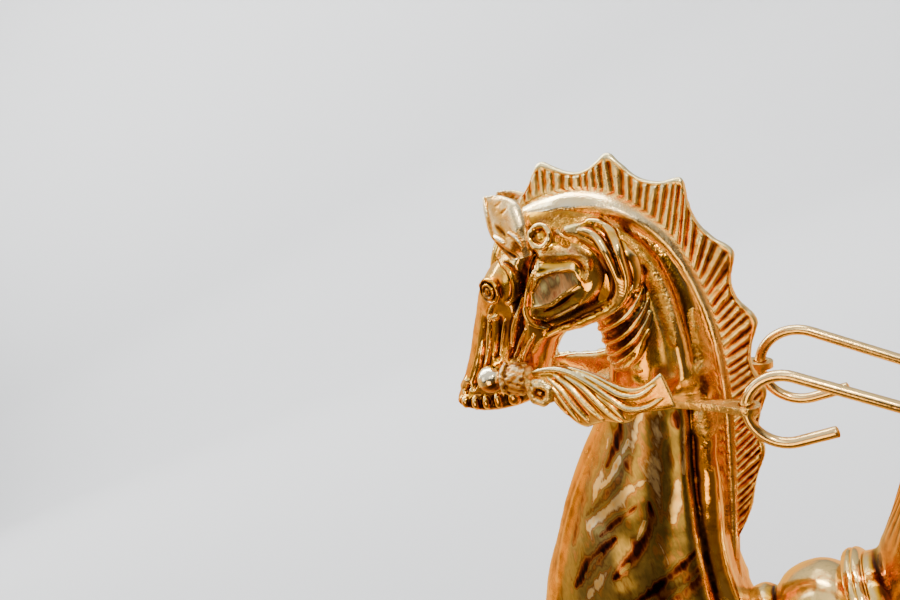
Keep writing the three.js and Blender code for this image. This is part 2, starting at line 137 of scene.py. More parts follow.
# ends drawn in to a point, rounded by how far they stand out
def closeEnds(rings, domes=(0, 0), steps=5):
    def cap(ring, before, dome):
        middle = ring[:-1].mean(axis=0)
        out = middle - before[:-1].mean(axis=0)
        out = out / max(np.linalg.norm(out), 1e-9)
        return [middle + (ring - middle) * math.cos(a) + out * dome * math.sin(a)
                for a in np.linspace(0, math.pi / 2, steps + 1)[1:]]
    first = cap(rings[0], rings[1], domes[0])[::-1]
    last = cap(rings[-1], rings[-2], domes[1])
    return np.array(first + list(rings) + last)


# joins a body's seams, turns its normals outward and leaves it smooth
def mergeSeams():
    editAll()
    bpy.ops.mesh.remove_doubles(threshold=seamGap)
    bpy.ops.mesh.normals_make_consistent(inside=False)
    bpy.ops.object.mode_set(mode="OBJECT")
    bpy.ops.object.shade_smooth()


# a grid wrapped round into a closed body
def wrapBody(name, rings):
    rows, columns = rings.shape[:2]
    deselectAll()
    bpy.ops.mesh.primitive_grid_add(x_subdivisions=columns - 1, y_subdivisions=rows - 1, size=0.1)
    piece = bpy.context.object
    piece.name = name
    setPoints(piece, rings.reshape(-1, 3))
    mergeSeams()
    return piece


# a profile of along, radius spun round an axis
def spinBody(name, profile, start, direction, steps=64):
    axis = Vector(direction).normalized()
    up = axis.orthogonal().normalized()
    deselectAll()
    bpy.ops.mesh.primitive_circle_add(vertices=len(profile), radius=0.01)
    piece = bpy.context.object
    piece.name = name
    setPoints(piece, [list(Vector(start) + axis * along + up * radius) for along, radius in profile])
    editAll()
    bpy.ops.mesh.spin(steps=steps, angle=2 * math.pi, center=Vector(start) * mm, axis=axis)
    mergeSeams()
    return piece


def joined(name, parts):
    deselectAll()
    for part in parts:
        part.select_set(True)
    bpy.context.view_layer.objects.active = parts[0]
    bpy.ops.object.join()
    parts[0].name = name
    return parts[0]


# the same piece on the other side, with its own mesh
def mirrored(piece, name):
    twin = piece.copy()
    twin.data = piece.data.copy()
    bpy.context.collection.objects.link(twin)
    twin.name = name
    if "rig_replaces" in twin:        # it stands for its own node, not for that of the other side
        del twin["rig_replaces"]
    points = pointsOf(twin)
    points[:, 1] *= -1
    setPoints(twin, points)
    pick(twin)
    editAll()
    bpy.ops.mesh.flip_normals()
    bpy.ops.object.mode_set(mode="OBJECT")
    return twin


def softStep(value, low, high):
    t = np.clip((value - low) / (high - low), 0, 1)
    return t * t * (3 - 2 * t)


# how far each point lies from a line, and how far along it, 0 to 1
def distanceTo(path, points):
    run = runAlong(path)
    best, place = np.full(len(points), 1e9), np.zeros(len(points))
    for i, (a, b) in enumerate(zip(path[:-1], path[1:])):
        line = b - a
        t = np.clip(((points - a) @ line) / max(line @ line, 1e-9), 0, 1)
        away = np.linalg.norm(points - a - t[:, None] * line, axis=1)
        nearer = away < best
        best[nearer] = away[nearer]
        place[nearer] = ((run[i] + t * (run[i + 1] - run[i])) / max(run[-1], 1e-9))[nearer]
    return best, place


# the points near a line drawn on the side view, how far off they lie, and how near the line's middle, 0 to 1
def nearLine(flat, path, width):
    path = smoothPath(path) if len(path) > 1 else np.array([path[0], path[0]], float)
    low, high = path.min(axis=0) - 3 * width, path.max(axis=0) + 3 * width
    near = np.where(((flat > low) & (flat < high)).all(axis=1))[0]
    away, place = distanceTo(path, flat[near])
    return near, away, np.sin(math.pi * np.clip(place, 0, 1)) if len(path) > 2 else np.ones(len(near))


# carves a piece by lines drawn on its side view: kind, width, height, then x, z points
def carve(piece, lines, facing=(0.15, 0.5), side=0):
    points = pointsOf(piece)
    normals = normalsOf(piece)
    flat = points[:, [0, 2]]
    lift = np.zeros(len(points))
    for kind, width, height, *path in lines:
        near, away, bulge = nearLine(flat, path, width)
        taper = bulge**0.5
        if kind == "cord":       # a rounded cord that thins to its ends, creased along both sides
            size = width * (0.25 + 0.75 * taper)
            swell = np.clip(1 - (away / size) ** 2, 0, 1) ** 0.6
            raised = lift[near] * (1 - 0.7 * swell) + height * (0.2 + 0.8 * taper) * swell
            creased = lift[near] - 0.3 * height * taper * np.exp(-((away - size) / (0.4 * width)) ** 2)
            lift[near] = np.where(away < size, raised, creased)
        elif kind == "edge":     # a fine raised line
            lift[near] += height * taper * np.exp(-np.abs(away / width))
        else:                    # a soft swelling, or a hollow where the height is negative
            lift[near] += height * np.exp(-(away / width) ** 2)
    outward = normals[:, 1] * side if side else np.abs(normals[:, 1])
    points += normals * (lift * softStep(outward, *facing))[:, None]
    setPoints(piece, points)


# 0 outside an outline of x, z points, rising to 1 within its edge
def insideOutline(flat, corners, edge):
    ring = np.vstack([corners, corners[:1]])
    inside = np.zeros(len(flat), bool)
    for a, b in zip(ring[:-1], ring[1:]):
        spans = (a[1] > flat[:, 1]) != (b[1] > flat[:, 1])
        inside ^= spans & (flat[:, 0] < a[0] + (flat[:, 1] - a[1]) / (b[1] - a[1] + 1e-12) * (b[0] - a[0]))
    return np.where(inside, softStep(distanceTo(ring, flat)[0], 0, edge), 0)


# flattens a piece's sides inside an outline; corners are x, z and distance from the middle plane, and points
# that are not clear of that plane stay
def facet(piece, corners, edge=0.9, clear=5):
    corners = np.array(corners, float)
    plane = np.linalg.lstsq(np.c_[corners[:, :2], np.ones(len(corners))], corners[:, 2], rcond=None)[0]
    points = pointsOf(piece)
    flat = points[:, [0, 2]]
    amount = insideOutline(flat, corners[:, :2], edge) * (np.abs(points[:, 1]) > clear)
    points[:, 1] += amount * (np.sign(points[:, 1]) * (flat @ plane[:2] + plane[2]) - points[:, 1])
    setPoints(piece, points)


# values kept on the points, from lines drawn on the side view: width, amount, then x, z points; the strongest
# line counts, or all of them added to a base
def paint(piece, name, lines, facing=(0.1, 0.4), base=None):
    flat = pointsOf(piece)[:, [0, 2]]
    amount = np.full(len(flat), base or 0.0)
    for width, strength, *path in lines:
        near, away, bulge = nearLine(flat, path, width)
        here = strength * np.exp(-(away / (width * (0.25 + 0.75 * bulge**0.6))) ** 2)
        amount[near] = np.maximum(amount[near], here) if base is None else amount[near] + here
    amount = amount * softStep(np.abs(normalsOf(piece)[:, 1]), *facing)
    keep(piece, name, amount)


def kept(piece, name):
    values = np.empty(len(piece.data.vertices))
    piece.data.attributes[name].data.foreach_get("value", values)
    return values


# one value for every point, or one for all of them
def keep(piece, name, values):
    mark = piece.data.attributes.get(name) or piece.data.attributes.new(name, "FLOAT", "POINT")
    mark.data.foreach_set("value", np.zeros(len(piece.data.vertices)) + values)


# shallow unevenness of hand-finished metal, as waves of one length in several directions
def ripple(piece, height, length, seed, where=None, waves=7):
    chance = np.random.default_rng(seed)
    points, normals = pointsOf(piece), normalsOf(piece)
    total = np.zeros(len(points))
    for _ in range(waves):
        way = chance.normal(size=3)
        way *= 2 * math.pi / length * chance.uniform(0.6, 1.5) / np.linalg.norm(way)
        total += np.sin(points @ way + chance.uniform(0, 6.3))
    amount = height / 2.6 * total     # 2.6 is about the root of seven
    if where is not None:
        amount *= where(points)
    setPoints(piece, points + normals * amount[:, None])


def edgesOf(piece):
    pairs = np.empty(len(piece.data.edges) * 2, int)
    piece.data.edges.foreach_get("vertices", pairs)
    return pairs.reshape(-1, 2)


def spread(values, pairs, rounds):
    count = np.bincount(pairs.ravel(), minlength=len(values))[:, None]
    for _ in range(rounds):
        total = np.stack([np.bincount(pairs[:, 0], values[pairs[:, 1], k], len(values))
                          + np.bincount(pairs[:, 1], values[pairs[:, 0], k], len(values))
                          for k in range(values.shape[1])], axis=1)
        values = 0.5 * values + 0.5 * total / count
    return values


def soften(piece, rounds):
    setPoints(piece, spread(pointsOf(piece), edgesOf(piece), rounds))


# how deep each point lies in a hollow, 0 to 1, with 0.5 on flat metal and 1 in the creases
def markHollows(piece, fine=0.25, broad=1.2, fineRounds=8, broadRounds=60):
    points, normals, pairs = pointsOf(piece), normalsOf(piece), edgesOf(piece)
    near = ((spread(points, pairs, fineRounds) - points) * normals).sum(axis=1) / fine
    far = ((spread(points, pairs, broadRounds) - points) * normals).sum(axis=1) / broad
    depth = spread((0.5 + 0.5 * np.clip(0.6 * near + 0.6 * far, -1, 1))[:, None], pairs, 2)[:, 0]
    keep(piece, "hollow", depth)


# a node's output that takes part in sums, and the tree that makes the nodes


class Shade:
    def __init__(self, tree, socket):
        self.tree, self.socket = tree, socket

    def join(self, operation, first, second):
        return Graph(self.tree).add("ShaderNodeMath", {"operation": operation}, {0: first, 1: second})

    def __add__(self, other):
        return self.join("ADD", self, other)

    def __radd__(self, other):
        return self.join("ADD", other, self)

    def __sub__(self, other):
        return self.join("SUBTRACT", self, other)

    def __rsub__(self, other):
        return self.join("SUBTRACT", other, self)

    def __mul__(self, other):
        return self.join("MULTIPLY", self, other)

    def __rmul__(self, other):
        return self.join("MULTIPLY", other, self)


class Graph:
    def __init__(self, tree):
        self.tree = tree

    # a node of a type, with its settings and the values or links of its sockets
    def add(self, kind, settings=None, sockets=None, output=0):
        node = self.tree.nodes.new(kind)
        for name, value in (settings or {}).items():
            if name == "stops":
                ramp = node.color_ramp
                while len(ramp.elements) < len(value):
                    ramp.elements.new(1)
                for element, (place, colour) in zip(ramp.elements, value):
                    element.position, element.color = place, (*colour, 1)
            else:
                setattr(node, name, value)
        for name, value in (sockets or {}).items():
            if isinstance(value, Shade):
                self.tree.links.new(value.socket, node.inputs[name])
            else:
                node.inputs[name].default_value = value
        return Shade(self.tree, node.outputs[output])

    def blend(self, amount, first, second):
        return self.add("ShaderNodeMix", {"data_type": "RGBA", "clamp_factor": True},
                        {0: amount, 6: first, 7: second}, 2)

    def ramp(self, value, stops):
        return self.add("ShaderNodeValToRGB", {"stops": stops}, {0: value})

    # black at one value and white at the other, whichever is the higher
    def fade(self, value, black, white):
        return self.ramp(value, sorted([(black, (0, 0, 0)), (white, (1, 1, 1))]))

    # a value kept on the points of a piece
    def attribute(self, name):
        return self.add("ShaderNodeAttribute", {"attribute_name": name}, output=2)

    def noise(self, where, scale, detail=3, roughness=0.5, distortion=0.0):
        return self.add("ShaderNodeTexNoise", {}, {"Vector": where, "Scale": scale, "Detail": detail,
                                                   "Roughness": roughness, "Distortion": distortion})


def newMaterial(name):
    material = bpy.data.materials.new(name)
    material.use_nodes = True
    tree = material.node_tree
    tree.nodes.clear()
    output = tree.nodes.new("ShaderNodeOutputMaterial")
    shader = tree.nodes.new("ShaderNodeBsdfPrincipled")
    tree.links.new(shader.outputs[0], output.inputs[0])
    return material, Graph(tree), shader


# gilt brass, in several states of wear

brassFinishes = {
    "polished": {"pale": (1.0, 0.69, 0.25), "gold": (0.95, 0.50, 0.045), "deep": (0.78, 0.35, 0.006),
                 "dark": (0.20, 0.045, 0.006), "stain": (0.34, 0.17, 0.045), "stainAmount": 0.55,
                 "gloss": 0.08, "rough": 0.26, "wobble": 0.30, "pits": 0.10, "mottled": True},
    "worn": {"pale": (0.99, 0.74, 0.24), "gold": (0.94, 0.50, 0.055), "deep": (0.76, 0.22, 0.005),
             "dark": (0.22, 0.04, 0.004), "stain": (0.30, 0.12, 0.02), "stainAmount": 0.55,
             "gloss": 0.14, "rough": 0.38, "wobble": 0.10, "pits": 0.22, "mottled": False},
    "strip": {"pale": (0.99, 0.86, 0.58), "gold": (0.98, 0.76, 0.38), "deep": (0.90, 0.40, 0.05),
              "dark": (0.30, 0.09, 0.01), "stain": (0.66, 0.44, 0.18), "stainAmount": 0.35,
              "gloss": 0.22, "rough": 0.44, "wobble": 0.06, "pits": 0.24, "mottled": False},
    "leaf": {"pale": (1.0, 0.84, 0.42), "gold": (1.0, 0.58, 0.10), "deep": (0.84, 0.37, 0.008),
             "dark": (0.26, 0.05, 0.004), "stain": (0.50, 0.26, 0.06), "stainAmount": 0.3,
             "gloss": 0.16, "rough": 0.36, "wobble": 0.06, "pits": 0.20, "mottled": False},
    "fin": {"pale": (1.0, 0.84, 0.42), "gold": (0.96, 0.58, 0.12), "deep": (0.72, 0.22, 0.008),
            "dark": (0.24, 0.05, 0.005), "stain": (0.50, 0.28, 0.07), "stainAmount": 0.35,
            "gloss": 0.26, "rough": 0.50, "wobble": 0.06, "pits": 0.22, "mottled": False},
    "rod": {"pale": (0.92, 0.64, 0.27), "gold": (0.82, 0.45, 0.10), "deep": (0.56, 0.22, 0.03),
            "dark": (0.20, 0.08, 0.02), "stain": (0.38, 0.22, 0.07), "stainAmount": 0.45,
            "gloss": 0.16, "rough": 0.34, "wobble": 0.0, "pits": 0.12, "mottled": False},
}
# the painted reflections that swirl over the trunk, and the grainy skin where the casting was never polished
reflectionTones = [(0.06, (0.012, 0.004, 0.006)), (0.18, (0.14, 0.03, 0.010)), (0.27, (0.38, 0.18, 0.06)),
               (0.33, (0.17, 0.10, 0.04)), (0.42, (0.36, 0.28, 0.10)), (0.50, (0.24, 0.20, 0.07)),
               (0.56, (0.46, 0.25, 0.09)), (0.60, (0.26, 0.13, 0.045)), (0.68, (0.88, 0.76, 0.50)),
               (0.77, (0.96, 0.74, 0.34)), (0.90, (0.95, 0.46, 0.06))]
castTones = [(0.34, (0.16, 0.055, 0.012)), (0.43, (0.46, 0.25, 0.05)), (0.50, (0.86, 0.44, 0.06)),
             (0.57, (0.62, 0.36, 0.08)), (0.66, (1.0, 0.77, 0.32))]

# the noises that every finish shares: scale, detail, roughness and distortion
grain = {"clouds": (28, 4, 0.55, 0.6), "blotches": (120, 4, 0.6, 0.8), "specks": (420, 3, 0.6),
         "pits": (900, 2, 0.5), "waves": (22, 1, 0.4, 0.8)}


def brassMaterial(name, values):
    material, graph, shader = newMaterial(name)
    where = graph.add("ShaderNodeTexCoord", output=3)
    hollow, cast, shade, polish = (graph.attribute(mark) for mark in ("hollow", "cast", "shade", "polish"))
    clouds, blotches, specks, pits, waves = (graph.noise(where, *grain[kind]) for kind in grain)
    # paler on the ridges and darker into the creases, partly wear and tarnish, partly painted highlight and
    # painted crease shade; the shade attribute adds painted shade, highlight and reflection
    depth = hollow + shade + (clouds - 0.5) * 0.2 + (blotches - 0.5) * 0.35
    colour = graph.ramp(depth, [(0.28, values["pale"]), (0.46, values["gold"]), (0.64, values["deep"]),
                                (0.84, values["dark"]), (1.0, (0.03, 0.006, 0.003))])
    stained = graph.fade(clouds * 0.45 + blotches * 0.35 + specks * 0.2, 0.50, 0.62)
    colour = graph.blend(stained * values["stainAmount"], colour, (*values["stain"], 1))
    # the grainy cast skin, darker too where painted shade is kept
    grainy = graph.ramp(blotches * 0.6 + specks * 0.4 - shade * 0.4, castTones)
    colour = graph.blend(cast * 0.85, colour, grainy)
    # painted reflections: slanted swirls of tones where the mottle attribute marks them, over the ground that
    # the tone attribute gives
    if values["mottled"]:
        mask, tone = graph.attribute("mottle"), graph.attribute("tone")
        slanted = graph.add("ShaderNodeMapping", {}, {"Vector": where, "Rotation": (0, 0.62, 0),
                                                      "Scale": (1.6, 1.0, 0.45)})
        swirl = graph.noise(slanted, 46, 4, 0.5, 1.3)
        streaks = graph.noise(slanted, 210, 3, 0.6, 0.4)
        reflectionSwirl = tone + (swirl - 0.5) * 0.65 + (streaks - 0.5) * 0.36
        colour = graph.blend(mask, colour, graph.ramp(reflectionSwirl, reflectionTones))
    tree = material.node_tree
    tree.links.new(colour.socket, shader.inputs["Base Color"])
    worn = graph.fade(specks * 0.4 + clouds * 0.6, 0.42, 0.70)
    roughness = worn * (values["rough"] - values["gloss"]) + values["gloss"] + cast * 0.16
    if values["mottled"]:
        roughness = roughness + mask * 0.20
    roughness = roughness * (1 - polish * 0.75)
    tree.links.new(roughness.socket, shader.inputs["Roughness"])
    height = waves * (values["wobble"] * 0.004) + pits * (values["pits"] * 0.0004) \
        + specks * (values["pits"] * 0.0004) + cast * specks * 0.0011 + cast * blotches * 0.0012
    bump = graph.add("ShaderNodeBump", {}, {"Strength": 1.0, "Distance": 1.0, "Height": height})
    tree.links.new(bump.socket, shader.inputs["Normal"])
    shader.inputs["Metallic"].default_value = 1.0
    return material


finishes = {name: brassMaterial(name + "Brass", values) for name, values in brassFinishes.items()}


# shades a piece by its hollows, unless they are marked already, and gives it its body, node and slot
def finishPiece(piece, finish, body, node, mark=True, fine=0.25, broad=1.2):
    if mark:
        markHollows(piece, fine, broad)
    piece.data.materials.clear()
    piece.data.materials.append(finishes[finish])
    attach(piece, body)
    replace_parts(piece, node)


# the finished piece again on the other side
def finishTwin(piece, name, body, node):
    twin = mirrored(piece, name)
    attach(twin, body)
    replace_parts(twin, node)


# neck and chest; every line drawn on a piece is given as x, z points of its side view

neckValues = {
    "sections": [   # front x, z, back x, z, half width
        (-10, 303, 2, 319, 11), (0, 285, 25, 314, 16.5), (12, 268, 42.5, 303, 18), (16, 254, 56, 286, 18),
        (16, 245, 65, 267.5, 18.5), (15, 236, 68, 248, 20), (12.5, 224, 67.5, 226, 22.5),
        (5, 211, 63.5, 205, 24.5), (-6, 200, 58, 184, 26.5), (-20, 186, 50.5, 163, 29),
        (-43.5, 162, 40.5, 137, 32), (-68, 132, 32, 115, 35), (-86.5, 107, 27, 97, 37),
        (-99.5, 82, 25, 81, 38), (-105, 60, 27, 60, 37), (-103, 42, 28, 42, 34), (-95, 25.3, 28, 25.3, 29)],
    "around": 236, "rows": 380, "power": 0.86, "crowd": 0.35, "underCrest": 2.6,
    "chestWaves": (0.55, 34, 3), "skinWaves": (0.10, 11, 4),     # height, length and seed
    "wavesBelow": 205, "mottleBelow": 206, "throatReach": 6, "foldReach": 12, "foldHollow": 0.52,
    "ground": 0.5,
    "carving": [
        ("soft", 3.0, -3.2, (58, 288), (64, 276), (67, 258), (66, 240), (63, 220), (61.5, 213)),
        ("soft", 4, 1.8, (48, 289), (56, 273), (58.5, 254), (57.5, 234), (54, 214), (52.5, 209)),
        ("edge", 0.7, 0.9, (55, 281), (61, 262), (61, 240), (57, 216)),
        ("soft", 3.4, -3.4, (49.5, 193), (46.5, 184), (40.5, 168), (31.5, 142), (24, 116), (19, 92),
         (17, 74)),
        ("soft", 3.4, 2.2, (56, 193), (51.5, 178), (42.5, 152), (33.5, 126), (26, 100), (23, 80)),
        ("soft", 7, -2.6, (47, 280), (53, 260), (51, 236), (45, 214)),
        ("edge", 0.8, 1.6, (56.5, 268.8), (51.5, 267.4), (46.5, 264)),
        ("soft", 2.4, -4.6, (54.5, 265.5), (51.5, 262.5), (50.2, 258)), ("soft", 1.4, -2.4, (50, 257),
         (48.5, 250)),
        ("cord", 1.7, 2.0, (12, 251.5), (22, 250.3), (30, 251.3), (38, 254), (45, 257.8), (50, 262)),
        ("cord", 1.7, 2.1, (12, 245.5), (20, 243.8), (30, 244.6), (39, 247.4), (46.5, 252), (51.5, 258)),
        ("cord", 1.7, 2.1, (12, 239), (20, 236.8), (30, 237.3), (39, 240.7), (46.8, 245.7), (51.5, 251)),
        ("cord", 1.7, 2.1, (13, 233), (20, 230.6), (29, 231.4), (38, 234.7), (45, 239.3), (50, 244.6)),
        ("cord", 1.6, 2.0, (14, 228), (21, 225.6), (29, 226.8), (38.7, 230.9), (46, 236.8)),
        ("cord", 1.5, 1.8, (19, 223), (26, 222.6), (33, 225.2), (41.5, 231)),
        ("soft", 9, -2.6, (-4, 196), (-22, 176), (-40, 154), (-58, 128), (-70, 104)),
        ("soft", 13, 2.6, (22, 196), (8, 170), (-8, 142), (-26, 112)),
        ("soft", 8, -2.6, (36, 190), (25, 158), (10, 126), (0, 96)),
        ("soft", 10, -1.8, (-20, 150), (-6, 126), (-2, 100)),
        ("edge", 1.0, 0.9, (-8, 193), (-20, 181), (-36, 164.7), (-52.5, 144.6), (-65, 126.8), (-76, 102.9)),
    ],
    "rough": [      # grainy, where the casting was never polished
        (3.6, 1.0, (67.5, 236), (64.5, 224), (61, 211), (56, 197)), (6.0, 1.0, (54, 188), (50, 175)),
        (2.4, 0.9, (47, 171), (44, 158)),
        (7, 0.75, (8, 306), (28, 303), (44, 294), (54, 280), (59, 264), (59, 246), (55, 226)),
        (5, 0.6, (46, 285), (51, 268)), (3, 0.6, (18, 227), (34, 219))],
    # the painted reflections end short of these edges of the trunk
    "backEdge": [(19, 20), (15, 70), (18, 92), (23, 116), (30.5, 142), (39.5, 168), (46.5, 188), (50, 200),
                 (60, 260)],
    "frontEdge": [(-101, 20), (-103, 60), (-97, 84), (-84, 108), (-66, 133), (-45, 161), (-24, 186),
                  (-12, 200)],
    "throat": [(50, 246), (49, 232), (46, 216)], "folds": [(22, 250), (26, 238), (30, 226)],
    "shades": [     # painted shade, highlight and reflection: deeper or paler metal
        (10, 0.28, (-12, 196), (-35, 171), (-58, 144), (-79, 114), (-94, 84)),
        (4.6, 0.40, (60, 204), (53, 180), (44, 154), (35, 128), (27.5, 102), (24, 82)),
        (2.6, 0.30, (50, 198), (47, 187), (40, 167), (31, 141), (23.5, 115), (18.5, 91)),
        (16, 0.30, (22, 238), (34, 238), (42, 242)), (9, 0.30, (44, 288), (56, 272), (58, 250), (56, 226)),
        (5.0, 0.34, (6, 309), (24, 309), (38, 303)), (7.0, 0.10, (48, 290), (56, 268), (55, 244)),
        (2.2, 0.25, (53.5, 266), (51, 261), (50, 254)), (3, 0.18, (16, 234), (14, 246)),
        (3.0, -0.22, (60, 262), (60.5, 244), (58, 226)), (7.0, -0.5, (54, 188), (50, 175)),
        (3, 0.14, (40, 246), (46, 251)),
        (2.2, 0.16, (66, 250), (64.5, 228), (58, 203), (50, 178), (41, 152), (32, 126), (25.5, 100))],
    "tones": [      # the painted reflections on the trunk, darker or brighter than its olive ground
        (3.2, -0.44, (14.6, 199.4), (8.4, 189.9), (-1.5, 179.6), (-5.8, 175.8)),
        (2.0, 0.34, (13.7, 187.6), (5, 179.4), (-6.4, 169.3), (-13, 166)),
        (3.0, -0.12, (6.7, 199), (-3.1, 185.4), (-14.4, 170.9)),
        (4.0, -0.24, (0.8, 199.9), (-15.9, 179.6), (-31.8, 158), (-47.6, 135.2)),
        (3.2, -0.22, (23.7, 194.7), (17.4, 184.5), (1.3, 171.1), (-16.2, 158.9), (-30.3, 151.2)),
        (3.2, 0.24, (13.3, 165.1), (0.5, 161.9), (-16.3, 152.7), (-32, 145.3)),
        (2.0, -0.36, (3.9, 153.6), (-11.4, 147.3), (-24.5, 141)),
        (3.8, -0.42, (-15.4, 138.9), (-26.4, 133.6), (-40, 125.2), (-53.3, 114.6)),
        (1.1, 0.30, (-26, 133), (-33, 129), (-44, 120)),
        (3.8, -0.40, (10.4, 153.3), (6.7, 143.6), (-0.7, 134.5), (-13.2, 125.4), (-24.9, 118.4)),
        (1.3, 0.60, (4.9, 144.8), (-0.1, 139.4), (-4.4, 135.3)),
        (1.2, 0.50, (-12.8, 124.5), (-20.3, 120.9)),
        (2.4, 0.24, (-23.4, 125), (-34.6, 117.8), (-48.1, 108)),
        (3.4, 0.12, (34.8, 196.1), (23.2, 175.8), (16, 153.6), (10.6, 140.2)),
        (2.2, 0.26, (26, 200), (20, 190), (13, 180)), (2.4, 0.24, (2, 190), (-12, 172), (-24, 156)),
        (3.2, -0.18, (33.2, 180.9), (24.8, 162.6), (14.8, 145.7)),
        (3.0, -0.4, (42.1, 193.9), (39.3, 184.6)),
        (2.0, 0.26, (45.8, 191.5), (39.7, 177.8), (31.6, 160.2)),
        (3.4, 0.22, (27.6, 158.6), (21.7, 147.3), (15.6, 137.4)),
        (2.4, 0.34, (38.4, 158.7), (26.8, 137.6)),
        (3.0, -0.44, (21.6, 119.5), (5.5, 111.3), (-9, 105.7), (-23.7, 100.7)),
        (7.5, -0.36, (24, 109), (8, 101), (-10, 92), (-26, 84)),
        (1.0, 0.24, (17, 107), (4, 101), (-8, 96)),
        (3.0, -0.5, (35.6, 146.4), (24.5, 124.8), (21.3, 109.1)), (7.0, -0.22, (48, 240), (47, 228))],
}
rows = np.array([(*row, neckValues["power"]) for row in neckValues["sections"]], float)
rows = smoothRows(rows, neckValues["rows"], middles, neckValues["crowd"])
reach = rows[:, 2:4] - rows[:, :2]
rows[:, 2:4] += reach / np.linalg.norm(reach, axis=1)[:, None] * neckValues["underCrest"]
neck = wrapBody("neckAndChest", closeEnds(crossRings(rows, neckValues["around"])))
carve(neck, neckValues["carving"])
ripple(neck, *neckValues["chestWaves"], lambda p: softStep(neckValues["wavesBelow"] - p[:, 2], 0, 25))
ripple(neck, *neckValues["skinWaves"])
soften(neck, 1)
paint(neck, "cast", neckValues["rough"])
paint(neck, "shade", neckValues["shades"], base=0)
paint(neck, "tone", neckValues["tones"], (-0.1, 0), neckValues["ground"])
# where the painted reflections go: the sides of the trunk below the head, short of its edges, and down the
# throat
points = pointsOf(neck)
swirled = softStep(neckValues["mottleBelow"] - points[:, 2], 0, 10)
swirled *= softStep(np.abs(normalsOf(neck)[:, 1]), 0.45, 0.75)
for edge, way, clear, full in (("backEdge", -1, 1, 4), ("frontEdge", 1, 11, 16)):
    x, z = np.array(neckValues[edge]).T
    swirled *= softStep(way * (points[:, 0] - np.interp(points[:, 2], z, x)), clear, full)
throat = distanceTo(smoothPath(neckValues["throat"]), points[:, [0, 2]])[0]
keep(neck, "mottle", np.maximum(swirled, 0.8 * np.exp(-(throat / neckValues["throatReach"]) ** 2)))
markHollows(neck)
hollow = kept(neck, "hollow")       # the folds of the throat take less of the painted crease shade, so they are bright down to their creases
folds = distanceTo(smoothPath(neckValues["folds"]), points[:, [0, 2]])[0]
brightened = 0.6 * np.exp(-(folds / neckValues["foldReach"]) ** 2)
keep(neck, "hollow", hollow + brightened * (neckValues["foldHollow"] - hollow))
finishPiece(neck, "polished", "root", "neck_and_chest", mark=False)
print("neck and chest done")

# head

